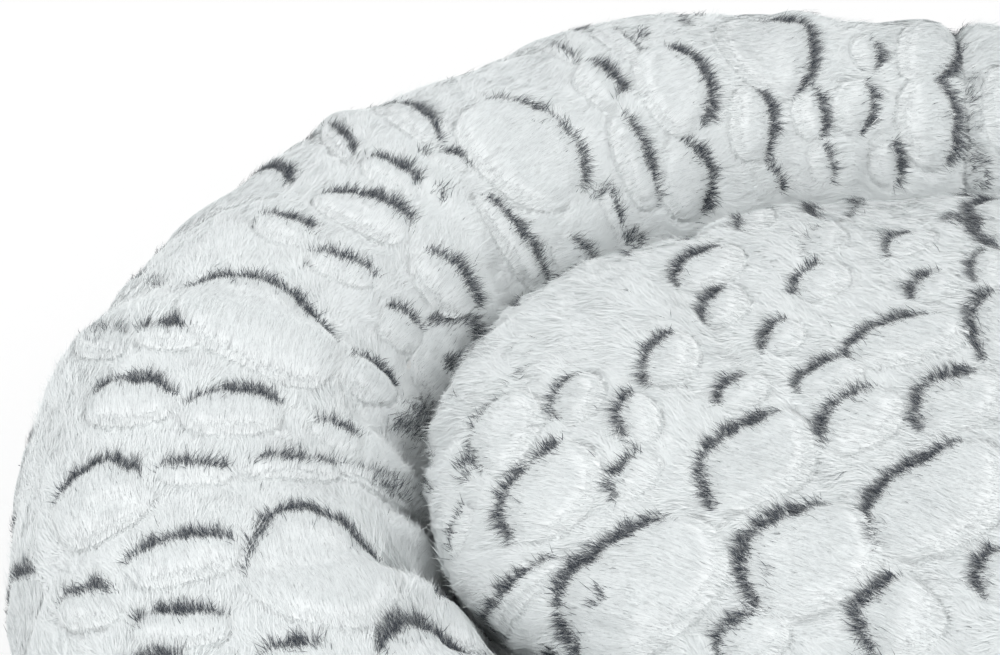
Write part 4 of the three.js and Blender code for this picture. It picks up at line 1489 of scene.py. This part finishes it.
def darkHairs(hair, field, wisps):
    # most hairs of a band, some combed out of it over the stone, and the loose dark tufts
    root, inside, streak = hair["root"], hair["inside"], hair["streak"]
    uneven = waves(root, 0.006, 33, 10)
    outer = 1 - ramp(inside, 0, np.maximum(field["band"] * 1.6, 0.001))
    chance = bandMask(field, inside + pileLook["ragged"] * uneven) * (0.5 + 0.5 * outer)
    chance = np.clip(chance * (1.05 + 0.6 * streak), 0, 1)
    comb = np.exp(-np.maximum(hair["core"], 0) / pileLook["combReach"])
    comb = comb * ramp(field["face"], 0.1, 0.7)
    comb = comb * (inside > 0) * field["strength"] * pileLook["comb"] * ramp(streak, -0.6, 1.2)
    broken = ramp(waves(root, 0.006, 31, 10), -1.2, 0.0)
    chance = chance * (0.25 + 0.75 * broken)
    marks = stoneField(root, wisps)
    mark = ramp(marks["inside"] / marks["radius"], -0.25, 0.55) * marks["strength"]
    mark = mark * ramp(waves(root, 0.006, 32, 10), -1.0, 0.4)
    loose = ramp(waves(root, 0.012, 43), 1.0, 1.7) * pileLook["loose"] * hair["between"]
    chance = np.maximum(np.maximum(chance, comb), np.maximum(mark, loose))
    chance = chance * (1 - pileLook["whiteInBand"])
    return dice.random(len(root)) < chance


def hairWays(hair, field):
    # along the nap, and at a band also straight out of the stone
    root, normal, onStone = hair["root"], hair["normal"], hair["onStone"]
    sway = waves(root, 0.040, 21) * pileLook["swayBroad"] * (1 - 0.7 * onStone)
    sway += waves(root, 0.013, 22) * pileLook["swayFine"] * (1 - 0.8 * onStone)
    sway += dice.normal(0, 1, len(root)) * (0.10 + 0.08 * hair["between"] + 0.18 * hair["isDark"])
    out = field["outward"] - normal * dot(field["outward"], normal)[:, None]
    fan = pileLook["fan"] * field["face"] * ramp(hair["core"], 0.004, 0.0)
    way = unit(hair["nap"] + out * (fan * (hair["inside"] > -0.003))[:, None])
    return turned(way, normal, sway)


def hairLengths(hair, field):
    # short where a hair would cover the dark band or the next stone's ridge
    core, inside, toward = hair["core"], hair["inside"], field["toward"]
    isDark, inBand, count = hair["isDark"], hair["inBand"], len(core)
    length = pileLook["length"] * hair["between"] + pileLook["stoneLength"] * hair["onStone"]
    length = length * dice.uniform(*pileLook["lengths"], count)
    ahead = np.maximum(core, 0) / np.maximum(toward, 0.12)
    before = (core > 0) & (toward > 0.12)
    past = dice.random(count) ** 2 * pileLook["overBand"]
    limit = np.maximum(pileLook["shortest"][0], ahead + past)
    length = np.where(before, np.minimum(length, limit), length)
    ahead = np.maximum(-inside, 0) / np.maximum(-toward, 0.15)
    before = (inside < 0) & (toward < -0.15)
    limit = np.maximum(pileLook["shortest"][1], ahead + dice.uniform(-0.0006, 0.0004, count))
    length = np.where(before, np.minimum(length, limit), length)
    darkLength = pileLook["bandLength"] * (0.35 + 1.1 * dice.random(count) ** 1.4)
    length = np.where(isDark, darkLength, length)
    length = np.where(inBand & ~isDark, darkLength * 0.5, length)
    stray = (dice.random(count) < pileLook["strays"]) & (hair["onStone"] < 0.5) & ~inBand
    return np.where(stray, length * pileLook["strayLength"], length) * hair["shorten"], stray


def hairLifts(hair, stray):
    between, count = hair["between"], len(stray)
    lift = pileLook["lift"] * between + pileLook["stoneLift"] * hair["onStone"]
    uneven = dice.normal(0, 1, count) * (1.5 + 2 * between)
    lift = lift + waves(hair["root"], 0.012, 23) * 5 * between + uneven
    raised = pileLook["bandLift"] + dice.normal(0, pileLook["bandLiftSpread"], count)
    lift = np.where(hair["isDark"], raised, lift)
    lift = np.where(stray, lift + pileLook["strayLift"], lift)
    return np.radians(np.clip(lift, *pileLook["liftLimits"]))


def hairPlaces(hair, way, length, lift, stray):
    # heading at the root, then the middle and the tip; at the foot the hairs hang to the floor
    # and hide the seam
    root, normal, count = hair["root"], hair["normal"], len(length)
    heading = leaning(way, normal, lift)
    droop = leaning(way, normal, lift * np.where(stray, 1.1, 0.3))
    hang = (hair["hang"] * dice.uniform(0.7, 1.0, count))[:, None]
    heading = unit(heading * (1 - hang) + np.array([0, 0, -1.0]) * hang)
    droop = unit(droop * (1 - hang) + np.array([0, 0, -1.0]) * hang)
    middle = root + heading * (length * 0.45)[:, None]
    bend = dice.normal(0, pileLook["curl"], count) * hair["between"]
    curl = np.cross(normal, way) * bend[:, None]
    return heading, middle, middle + (droop + curl) * (length * 0.55)[:, None]


def tuftPull(hair, way, length):
    # towards the middle of the hair's own tuft, along the skin, and how strongly
    root, normal, size = hair["root"], hair["normal"], pileLook["clumpSize"]
    cells = np.floor(root / size).astype(np.int64)
    centre = np.stack([hashed(cells, 1), hashed(cells, 2), hashed(cells, 3)], -1)
    centre = (cells + centre) * size - root
    pull = centre - way * dot(centre, way)[:, None] - normal * dot(centre, normal)[:, None]
    strongly = pileLook["clumping"] * hair["between"]
    strongly = strongly * np.where(hair["isDark"] | hair["inBand"], 0.4, 1)
    return pull, strongly * np.clip(length / pileLook["length"], 0, 1)


def hairShadesWithPaintedEdgeLight(hair, toward):
    # each hair's shade, with a painted highlight on a stone's ridge and painted shadow in the groove
    # line round it; the line comes too
    root, inside = hair["root"], hair["inside"]
    shade = 0.42 + 0.2 * hair["between"] + 0.15 * waves(root, 0.018, 41)
    shade = shade + dice.normal(0, 0.12, len(root))
    behind = ramp(-toward, -0.1, 0.6)
    # painted highlight on the ridge and painted shadow in the groove outside it, on the stone's
    # upstream side
    ridge = np.exp(-((inside - 0.0006) / 0.0007) ** 2) * behind
    line = np.exp(-((inside + 0.0012) / 0.0010) ** 2) * behind
    line = line * ramp(waves(root, 0.02, 42), -0.8, 0.6)
    return np.clip(shade + 0.3 * ridge - 0.3 * line, 0.05, 0.95), line


def hairTones(hair, way, line):
    # how dark a hair is at its root, middle and tip
    root, onStone, count = hair["root"], hair["onStone"], len(line)
    flow = root - way * dot(root, way)[:, None] * 0.75
    wisp = waves(flow, 0.0034, 44, 10) + 0.8 * waves(root, 0.022, 47)
    roots = hair["between"] * pileLook["wispGrey"] * ramp(wisp, 0.4, 1.8)
    streaks = pileLook["streakGrey"] * onStone * ramp(hair["streak"], 0.2, 1.4)
    roots = np.maximum(roots, streaks)
    grey = dice.random(count) < pileLook["greyShare"] * onStone
    grey = grey * dice.uniform(*pileLook["greyTones"], count)
    # the groove line round a stone gets grey roots: painted shadow
    roots = np.maximum(np.maximum(roots, grey), pileLook["grooveShadowGrey"] * line)
    tone = np.stack([roots, roots * 0.45, roots * 0.05], -1)
    ends = np.clip(dice.normal(0.55, 0.35, count), 0.05, 1)
    darkTone = np.stack([np.ones(count), 0.92 + 0.08 * ends, ends], -1)
    darkTone = darkTone * dice.uniform(0.95, 1.0, count)[:, None]
    return np.where(hair["isDark"][:, None], darkTone, tone)


def strandPile(grid, stones, wisps, onRim, allowed, shorten):
    # every hair of a skin: its places, its width, and what it shows
    root, normal, near, rows, columns = pileRoots(grid, allowed)
    count = len(root)
    field = stoneField(root, stones)
    height, slope = stoneRelief(field)
    root = root + normal * height[:, None]
    facing = unit(normal + field["outward"] * np.clip(slope, -1.0, 1.0)[:, None])
    nap = napDirection(root, normal, onRim)
    inside = field["inside"] + dice.normal(0, pileLook["ragged"], count)
    core = inside - field["band"]
    onStone = ramp(core, -0.0004, 0.0016)
    alongNap = root - nap * dot(root, nap)[:, None] * 0.8
    hair = {
        "root": root, "normal": normal, "nap": nap, "inside": inside, "core": core,
        "onStone": onStone, "between": 1 - onStone, "streak": waves(alongNap, 0.0030, 45, 10),
        "inBand": bandMask(field, inside) > 0.3, "shorten": shorten[rows, columns],
        "hang": grid["hang"][rows, columns],
    }
    hair["isDark"] = darkHairs(hair, field, wisps)
    way = hairWays(hair, field)
    length, stray = hairLengths(hair, field)
    lift = hairLifts(hair, stray)
    heading, middle, tip = hairPlaces(hair, way, length, lift, stray)
    pull, strongly = tuftPull(hair, way, length)
    tip = tip + pull * strongly[:, None]
    middle = middle + pull * (strongly * 0.3)[:, None]
    for place in (root, middle, tip):
        place[:, 2] = np.maximum(place[:, 2], pileLook["floorGap"])
    # each tuft is lit as one soft lump
    facing = unit(facing - pull * (strongly * 0.25 / pileLook["clumpSize"])[:, None])
    tufts = np.stack([waves(root, pileLook["tuftSize"], 61 + k, 10) for k in range(3)], -1)
    tilt = pileLook["tuftTilt"] * (0.35 + 0.65 * hair["between"])
    facing = facing + tufts * tilt[:, None]
    facing = unit(facing + dice.normal(0, 0.04, (count, 3)))
    width = pileLook["farWidth"] + (pileLook["nearWidth"] - pileLook["farWidth"]) * near
    width = width * dice.uniform(*pileLook["widths"], count)
    width = width * np.where(hair["isDark"], pileLook["darkWidth"], 1)
    side = unit(np.cross(normal, heading))
    side = turned(side, unit(heading), dice.normal(0, 0.25, count)) * (width / 2)[:, None]
    shade, line = hairShadesWithPaintedEdgeLight(hair, field["toward"])
    tone = hairTones(hair, way, line)
    wavy = (core < 0.0006) & (dice.random(count) < pileLook["wavy"])
    bent = (wavy | hair["isDark"]) & (near > 0.4)
    return {
        "root": root, "middle": middle, "tip": tip, "side": side, "facing": facing,
        "tone": tone, "shade": shade, "bent": bent,
    }


def makeStrandPiece(name, pile, chosen):
    # a straight hair is one triangle; a bent one has its widest place in the middle
    bent = chosen[pile["bent"][chosen]]
    straight = chosen[~pile["bent"][chosen]]
    root, side, tip = pile["root"][straight], pile["side"][straight], pile["tip"][straight]
    first = np.stack([root + side, root - side, tip], 1).reshape(-1, 3)
    root, side, tip = pile["root"][bent], pile["side"][bent], pile["tip"][bent]
    middle = pile["middle"][bent]
    second = np.stack([root, middle - side, middle + side, tip], 1).reshape(-1, 3)
    points = np.concatenate([first, second])
    start = len(first) + np.arange(len(bent)) * 4
    bentCorners = np.stack([start, start + 1, start + 2, start + 1, start + 3, start + 2], -1)
    corners = np.concatenate([np.arange(len(first)), bentCorners.ravel()])
    faces = len(corners) // 3
    mesh = bpy.data.meshes.new(name)
    mesh.vertices.add(len(points))
    mesh.vertices.foreach_set("co", points.ravel())
    mesh.loops.add(len(corners))
    mesh.loops.foreach_set("vertex_index", corners.astype(np.int32))
    mesh.polygons.add(faces)
    mesh.polygons.foreach_set("loop_start", (np.arange(faces) * 3).astype(np.int32))
    mesh.polygons.foreach_set("use_smooth", np.ones(faces, dtype=bool))
    mesh.update(calc_edges=True)
    # the map holds each hair's tone along it and its shade across, with a little width
    slip = 0.0005
    tone, shade = pile["tone"], 0.02 + 0.96 * pile["shade"]
    u = [tone[straight][:, [0, 0, 2]].ravel(), tone[bent][:, [0, 1, 1, 2]].ravel()]
    v = [
        (shade[straight][:, None] + np.array([-slip, slip, 0])).ravel(),
        (shade[bent][:, None] + np.array([0, -slip, slip, 0])).ravel(),
    ]
    end = [np.tile([0, 0, 1], len(straight)), np.tile([0, 1, 1, 2], len(bent))]
    u = 0.02 + 0.95 * np.concatenate(u) + 0.004 * (2 - np.concatenate(end))
    v = np.concatenate(v)
    layer = mesh.uv_layers.new(name="OFBake")
    places = np.stack([u[corners], v[corners]], -1)
    layer.data.foreach_set("uv", np.clip(places, 0.001, 0.999).ravel())
    facing = np.concatenate([
        np.repeat(pile["facing"][straight], 3, axis=0), np.repeat(pile["facing"][bent], 4, axis=0),
    ])
    mesh.normals_split_custom_set_from_vertices(facing)
    piece = bpy.data.objects.new(name, mesh)
    bpy.context.scene.collection.objects.link(piece)
    return piece


def joinedPiles(piles):
    return {key: np.concatenate([pile[key] for pile in piles]) for key in piles[0]}


def splitPile(name, pile, order, most=185000):
    # strands in order of place, so that each piece is one stretch of pile
    faces = np.cumsum(np.where(pile["bent"][order], 2, 1))
    pieces = math.ceil(faces[-1] / most)
    ends = np.searchsorted(faces, np.arange(1, pieces) * faces[-1] / pieces)
    made = []
    for number, chosen in enumerate(np.split(order, ends), 1):
        made.append(makeStrandPiece(f"{name}_{number}", pile, chosen))
    print(name, len(order), "hairs,", int(faces[-1]), "triangles in", pieces, "pieces")
    return made


def rimPile():
    piles = []
    for grid in (leftRim, rightRim):
        allowed = ramp(grid["turn"], -1.5, -1.4) * (1 - ramp(grid["turn"], 4.6, 4.68))
        hidden = ramp(grid["turn"], 2.95, 3.3)
        away = slotDistance(grid["angle"], grid["turn"])
        allowed = allowed * (1 - 0.45 * hidden) * (away > zipSlot["bare"])
        cut = 0.2 + 0.8 * ramp(away, 0.002, zipSlot["shortPile"])
        shorten = (1 - 0.4 * hidden) * cut
        piles.append(strandPile(grid, rimStones, rimWisps, True, allowed, shorten))
    return joinedPiles(piles)


pile = rimPile()
around = np.arctan2(pile["root"][:, 1], pile["root"][:, 0])
rimPieces = splitPile("rim_pile", pile, np.argsort(around))

share = cushionTop["share"]
allowed = 1 - ramp(share, cushionSkin["reach"] - 0.03, cushionSkin["reach"])
hidden = ramp(share, 1.02, 1.12)
pile = strandPile(
    cushionTop, cushionStones, cushionWisps, False, allowed * (1 - 0.45 * hidden), 1 - 0.4 * hidden
)
cushionPieces = splitPile("cushion_pile", pile, np.argsort(pile["root"][:, 0]))

# Materials

plushColours = {
    "white": (0.922, 0.955, 0.956),
    "shaded": (0.845, 0.882, 0.888),
    "dark": (0.004, 0.012, 0.028),
}


def newGroup(name, inputs, outputs):
    group = bpy.data.node_groups.new(name, "ShaderNodeTree")
    for label, kind, value in inputs:
        socket = group.interface.new_socket(label, in_out="INPUT", socket_type=kind)
        socket.default_value = value
    for label, kind in outputs:
        group.interface.new_socket(label, in_out="OUTPUT", socket_type=kind)
    start = group.nodes.new("NodeGroupInput")
    end = group.nodes.new("NodeGroupOutput")
    return group, start, end


def newMath(nodes, links, operation, first, second=None):
    # a Math node whose inputs are sockets or plain numbers
    node = nodes.new("ShaderNodeMath")
    node.operation = operation
    for slot, value in enumerate((first, second)):
        if value is None:
            continue
        if isinstance(value, (int, float)):
            node.inputs[slot].default_value = value
        else:
            links.new(value, node.inputs[slot])
    return node.outputs["Value"]


def newColourMix(nodes, links, factor, first, second):
    node = nodes.new("ShaderNodeMix")
    node.data_type = "RGBA"
    links.new(factor, node.inputs["Factor"])
    links.new(first, node.inputs["A"])
    links.new(second, node.inputs["B"])
    return node.outputs["Result"]


def makePileColour():
    # colour of a plush hair from its tone and its shade
    group, start, end = newGroup(
        "pileColour",
        [
            ("Tone", "NodeSocketFloat", 0.0), ("Shade", "NodeSocketFloat", 0.5),
            ("White", "NodeSocketColor", plushColours["white"] + (1,)),
            ("Shaded", "NodeSocketColor", plushColours["shaded"] + (1,)),
            ("Dark", "NodeSocketColor", plushColours["dark"] + (1,)),
        ],
        [("Colour", "NodeSocketColor")],
    )
    nodes, links, given = group.nodes, group.links, start.outputs
    pale = newColourMix(nodes, links, given["Shade"], given["Shaded"], given["White"])
    both = newColourMix(nodes, links, given["Tone"], pale, given["Dark"])
    links.new(both, end.inputs["Colour"])
    return group


def makeWeave():
    # plain weave on a map in metres: where a thread comes up it is higher, and it is painted paler
    # there as a painted highlight; the slub noise is the yarn's own uneven colour
    group, start, end = newGroup(
        "wovenThreads",
        [
            ("Vector", "NodeSocketVector", (0, 0, 0)), ("Threads", "NodeSocketFloat", 1500.0),
            ("Pale", "NodeSocketColor", (0.8, 0.8, 0.8, 1)),
            ("Deep", "NodeSocketColor", (0.6, 0.6, 0.6, 1)),
        ],
        [("Colour", "NodeSocketColor"), ("Height", "NodeSocketFloat")],
    )
    nodes, links, given = group.nodes, group.links, start.outputs
    parts = nodes.new("ShaderNodeSeparateXYZ")
    links.new(given["Vector"], parts.inputs["Vector"])
    sines = []
    for axis in ("X", "Y"):
        turns = newMath(nodes, links, "MULTIPLY", parts.outputs[axis], given["Threads"])
        halfTurns = newMath(nodes, links, "MULTIPLY", turns, math.pi)
        sines.append(newMath(nodes, links, "SINE", halfTurns))
    over = newMath(nodes, links, "MULTIPLY", sines[0], sines[1])
    height = newMath(nodes, links, "ABSOLUTE", over)
    slub = nodes.new("ShaderNodeTexNoise")
    slub.inputs["Scale"].default_value = 240
    slub.inputs["Detail"].default_value = 3
    links.new(given["Vector"], slub.inputs["Vector"])
    uneven = newMath(nodes, links, "MULTIPLY", slub.outputs["Fac"], 0.7)
    # painted highlight on the raised threads, added to the yarn's own uneven colour
    lit = newMath(nodes, links, "MULTIPLY", height, 0.55)
    factor = newMath(nodes, links, "ADD", uneven, lit)
    mixed = newColourMix(nodes, links, factor, given["Deep"], given["Pale"])
    links.new(mixed, end.inputs["Colour"])
    links.new(newMath(nodes, links, "ADD", height, uneven), end.inputs["Height"])
    return group


def makeMottle():
    # uneven colour and height from one size of noise, for fibre, rubber, moulding and plating
    group, start, end = newGroup(
        "fineMottle",
        [
            ("Vector", "NodeSocketVector", (0, 0, 0)), ("Scale", "NodeSocketFloat", 300.0),
            ("Pale", "NodeSocketColor", (0.8, 0.8, 0.8, 1)),
            ("Deep", "NodeSocketColor", (0.6, 0.6, 0.6, 1)),
            ("Low", "NodeSocketFloat", 0.3), ("High", "NodeSocketFloat", 0.6),
        ],
        [
            ("Colour", "NodeSocketColor"), ("Height", "NodeSocketFloat"),
            ("Roughness", "NodeSocketFloat"),
        ],
    )
    nodes, links, given = group.nodes, group.links, start.outputs
    noise = nodes.new("ShaderNodeTexNoise")
    noise.inputs["Detail"].default_value = 6
    noise.inputs["Roughness"].default_value = 0.65
    links.new(given["Vector"], noise.inputs["Vector"])
    links.new(given["Scale"], noise.inputs["Scale"])
    factor = noise.outputs["Fac"]
    mixed = newColourMix(nodes, links, factor, given["Deep"], given["Pale"])
    links.new(mixed, end.inputs["Colour"])
    links.new(factor, end.inputs["Height"])
    spread = newMath(nodes, links, "SUBTRACT", given["High"], given["Low"])
    spread = newMath(nodes, links, "MULTIPLY", factor, spread)
    rough = newMath(nodes, links, "ADD", given["Low"], spread)
    links.new(rough, end.inputs["Roughness"])
    return group


pileColour = makePileColour()
wovenThreads = makeWeave()
fineMottle = makeMottle()


def newMaterial(name, roughness):
    material = bpy.data.materials.new(name)
    material.use_nodes = True
    nodes = material.node_tree.nodes
    shader = nodes["Principled BSDF"]
    shader.inputs["Roughness"].default_value = roughness
    return material, nodes, material.node_tree.links, shader


def clothPlaces(nodes):
    # the map in metres that the skins and the woven cloths have
    places = nodes.new("ShaderNodeUVMap")
    places.uv_map = "cloth"
    return places.outputs["UV"]


def newUse(nodes, group, values=()):
    # a node that runs a shared group with its own values; colours are three numbers
    node = nodes.new("ShaderNodeGroup")
    node.node_tree = group
    for name, value in dict(values).items():
        node.inputs[name].default_value = value + (1,) if isinstance(value, tuple) else value
    return node


def addBump(nodes, links, shader, height, distance, strength):
    bump = nodes.new("ShaderNodeBump")
    bump.inputs["Distance"].default_value = distance
    bump.inputs["Strength"].default_value = strength
    links.new(height, bump.inputs["Height"])
    links.new(bump.outputs["Normal"], shader.inputs["Normal"])


def makeStrandMaterial():
    material, nodes, links, shader = newMaterial("plushHair", 0.7)
    shader.inputs["Specular IOR Level"].default_value = 0.12
    places = nodes.new("ShaderNodeUVMap")
    places.uv_map = "OFBake"
    parts = nodes.new("ShaderNodeSeparateXYZ")
    links.new(places.outputs["UV"], parts.inputs["Vector"])
    colour = newUse(nodes, pileColour)
    links.new(parts.outputs["X"], colour.inputs["Tone"])
    links.new(parts.outputs["Y"], colour.inputs["Shade"])
    links.new(colour.outputs["Colour"], shader.inputs["Base Color"])
    return material


def makeSkinMaterial():
    # what shows between the hairs: shaded pile with the same dark bands
    material, nodes, links, shader = newMaterial("plushBacking", 0.85)
    shader.inputs["Specular IOR Level"].default_value = 0.1
    stretch = nodes.new("ShaderNodeMapping")
    stretch.inputs["Scale"].default_value = (160, 900, 1)
    links.new(clothPlaces(nodes), stretch.inputs["Vector"])
    streaks = nodes.new("ShaderNodeTexNoise")
    streaks.inputs["Scale"].default_value = 1
    streaks.inputs["Detail"].default_value = 4
    links.new(stretch.outputs["Vector"], streaks.inputs["Vector"])
    band = nodes.new("ShaderNodeAttribute")
    band.attribute_name = "band"
    colour = newUse(nodes, pileColour)
    links.new(band.outputs["Fac"], colour.inputs["Tone"])
    links.new(streaks.outputs["Fac"], colour.inputs["Shade"])
    links.new(colour.outputs["Colour"], shader.inputs["Base Color"])
    addBump(nodes, links, shader, streaks.outputs["Fac"], 0.0006, 0.6)
    return material


# pale and deep ends of each cloth's colour: the weave mixes them by the yarn's own uneven colour and by
# a painted highlight on the raised threads
clothLook = {
    "lining": {"threads": 1300, "pale": (0.78, 0.78, 0.79), "deep": (0.56, 0.56, 0.575)},
    "underside": {"threads": 900, "pale": (0.062, 0.065, 0.072), "deep": (0.028, 0.029, 0.033)},
    "tape": {"threads": 2200, "pale": (0.84, 0.85, 0.86), "deep": (0.62, 0.63, 0.65)},
}


def makeCloth(name, look, roughness):
    material, nodes, links, shader = newMaterial(name, roughness)
    shader.inputs["Specular IOR Level"].default_value = 0.25
    values = {"Threads": look["threads"], "Pale": look["pale"], "Deep": look["deep"]}
    weave = newUse(nodes, wovenThreads, values)
    links.new(clothPlaces(nodes), weave.inputs["Vector"])
    links.new(weave.outputs["Colour"], shader.inputs["Base Color"])
    addBump(nodes, links, shader, weave.outputs["Height"], 0.00015, 0.8)
    return material


def makeMottled(name, look, metallic=0.0):
    # fibre, rubber, moulded plastic, thread and plated metal differ in their values alone
    material, nodes, links, shader = newMaterial(name, look["rough"][0])
    shader.inputs["Metallic"].default_value = metallic
    places = nodes.new("ShaderNodeTexCoord")
    low, high = look["rough"]
    values = {
        "Scale": look["scale"], "Pale": look["pale"], "Deep": look["deep"],
        "Low": low, "High": high,
    }
    mottle = newUse(nodes, fineMottle, values)
    links.new(places.outputs["Object"], mottle.inputs["Vector"])
    links.new(mottle.outputs["Colour"], shader.inputs["Base Color"])
    links.new(mottle.outputs["Roughness"], shader.inputs["Roughness"])
    addBump(nodes, links, shader, mottle.outputs["Height"], look["bump"], 0.7)
    return material


mottledLook = {
    "wadding": {
        "scale": 420, "pale": (0.93, 0.93, 0.91), "deep": (0.78, 0.78, 0.76),
        "rough": (0.85, 1.0), "bump": 0.0012,
    },
    "rubber": {
        "scale": 900, "pale": (0.055, 0.057, 0.062), "deep": (0.026, 0.027, 0.03),
        "rough": (0.45, 0.75), "bump": 0.00005,
    },
    "thread": {
        "scale": 1800, "pale": (0.86, 0.87, 0.88), "deep": (0.60, 0.61, 0.63),
        "rough": (0.6, 0.9), "bump": 0.0001,
    },
    "darkThread": {
        "scale": 1800, "pale": (0.075, 0.078, 0.085), "deep": (0.03, 0.032, 0.036),
        "rough": (0.6, 0.9), "bump": 0.0001,
    },
    "teeth": {
        "scale": 1200, "pale": (0.80, 0.82, 0.84), "deep": (0.68, 0.70, 0.72),
        "rough": (0.32, 0.55), "bump": 0.00003,
    },
    "nickel": {
        "scale": 700, "pale": (0.68, 0.69, 0.70), "deep": (0.50, 0.51, 0.52),
        "rough": (0.22, 0.52), "bump": 0.00002,
    },
}


def wear(pieces, material):
    for piece in pieces:
        piece.data.materials.clear()
        piece.data.materials.append(material)


def wearNodes(names, material):
    for name in names:
        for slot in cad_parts[name].material_slots:
            slot.material = material


wear(rimPieces + cushionPieces, makeStrandMaterial())
wear([rimLeft, rimRight, cushionPlush], makeSkinMaterial())
wear([cushionLining, baseLining], makeCloth("liningCloth", clothLook["lining"], 0.75))
wear([basePanel], makeCloth("gripCloth", clothLook["underside"], 0.8))
wear([tapeUpper, tapeLower], makeCloth("tapeCloth", clothLook["tape"], 0.7))
waddingFibre = makeMottled("waddingFibre", mottledLook["wadding"])
wear([rimStuffing, baseWadding, cushionStuffing], waddingFibre)
wear([baseDots], makeMottled("gripRubber", mottledLook["rubber"]))
wear([stitchesAbove, stitchesBelow], makeMottled("paleThread", mottledLook["thread"]))
wear([baseStitching], makeMottled("darkThread", mottledLook["darkThread"]))
toothMoulding = makeMottled("toothMoulding", mottledLook["teeth"])
wearNodes(["zip_teeth_upper", "zip_teeth_lower"], toothMoulding)
wearNodes(
    ["zip_stop_closed_upper", "zip_stop_closed_lower", "zip_stop_open", "zip_slider", "zip_pull"],
    makeMottled("wornNickel", mottledLook["nickel"], 1.0),
)
print("materials made")

# What moves with what, and the CAD parts that are hidden

bedPieces = {
    "rim_plush": [rimLeft, rimRight] + rimPieces,
    "wadding": [rimStuffing, baseWadding],
    "lining": [baseLining, stitchesAbove, stitchesBelow],
    "non_slip_fabric": [basePanel, baseDots, baseStitching],
    "zip_tape": [tapeUpper, tapeLower],
}
looseParts = {
    "cushion_plush": [cushionPlush] + cushionPieces,
    "lining": [cushionLining],
    "wadding": [cushionStuffing],
}
for body, groups in (("bed", bedPieces), ("cushion", looseParts)):
    for slot, pieces in groups.items():
        for piece in pieces:
            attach(piece, body)
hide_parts("bolster_cover_left")
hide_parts("bolster_cover_right")
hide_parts("bolster_filling")
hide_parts("base_panel")
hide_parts("base_padding")
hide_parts("base_deck")
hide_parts("zip_tape_upper")
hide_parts("zip_tape_lower")
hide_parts("cushion_top")
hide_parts("cushion_underside")
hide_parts("cushion_filling")

# Floor, light and the white around

studio = {
    "floorSize": 12,
    "floorColour": (0.88, 0.88, 0.88),
    "floorWhite": 0.55,
    "world": 0.885,
    "keyPower": 24.0,
    "keySize": 2.4,
    "keyPlace": (-1.1, -0.85, 2.4),
    "fillPower": 10,
    "fillSize": 2.5,
    "fillPlace": (1.8, 0.3, 1.9),
    "aim": (-0.1, 0.0, 0.1),
}


def makeStage():
    deselectAll()
    bpy.ops.mesh.primitive_plane_add(size=studio["floorSize"])
    floor = bpy.context.object
    floor.name = "studio_floor"
    material, nodes, links, shader = newMaterial("studioFloor", 0.9)
    shader.inputs["Base Color"].default_value = studio["floorColour"] + (1,)
    # seen directly, the floor is mostly plain white with the shadow left on it
    plain = nodes.new("ShaderNodeEmission")
    plain.inputs["Color"].default_value = (1, 1, 1, 1)
    path = nodes.new("ShaderNodeLightPath")
    cameraRay = path.outputs["Is Camera Ray"]
    seen = newMath(nodes, links, "MULTIPLY", cameraRay, studio["floorWhite"])
    mix = nodes.new("ShaderNodeMixShader")
    links.new(seen, mix.inputs[0])
    links.new(shader.outputs["BSDF"], mix.inputs[1])
    links.new(plain.outputs["Emission"], mix.inputs[2])
    links.new(mix.outputs["Shader"], nodes["Material Output"].inputs["Surface"])
    floor.data.materials.append(material)
    for name, power, size, place in (
        ("keyLight", studio["keyPower"], studio["keySize"], studio["keyPlace"]),
        ("fillLight", studio["fillPower"], studio["fillSize"], studio["fillPlace"]),
    ):
        bpy.ops.object.light_add(type="AREA", location=place)
        light = bpy.context.object
        light.name = name
        light.data.energy = power
        light.data.size = size
        light.rotation_mode = "QUATERNION"
        aim = Vector(studio["aim"]) - Vector(place)
        light.rotation_quaternion = aim.to_track_quat("-Z", "Y")
    world = bpy.data.worlds.new("studio")
    bpy.context.scene.world = world
    world.use_nodes = True
    nodes, links = world.node_tree.nodes, world.node_tree.links
    ambient = nodes["Background"]
    ambient.inputs["Color"].default_value = (1, 1, 1, 1)
    ambient.inputs["Strength"].default_value = studio["world"]
    seen = nodes.new("ShaderNodeBackground")
    seen.inputs["Color"].default_value = (1, 1, 1, 1)
    seen.inputs["Strength"].default_value = 1
    path = nodes.new("ShaderNodeLightPath")
    share = path.outputs["Is Camera Ray"]
    for kind in ("Is Glossy Ray", "Is Transmission Ray"):
        share = newMath(nodes, links, "MAXIMUM", share, path.outputs[kind])
    mix = nodes.new("ShaderNodeMixShader")
    links.new(share, mix.inputs[0])
    links.new(ambient.outputs["Background"], mix.inputs[1])
    links.new(seen.outputs["Background"], mix.inputs[2])
    links.new(mix.outputs["Shader"], nodes["World Output"].inputs["Surface"])


makeStage()
bpy.context.scene.view_settings.view_transform = "Standard"
print("studio lit")
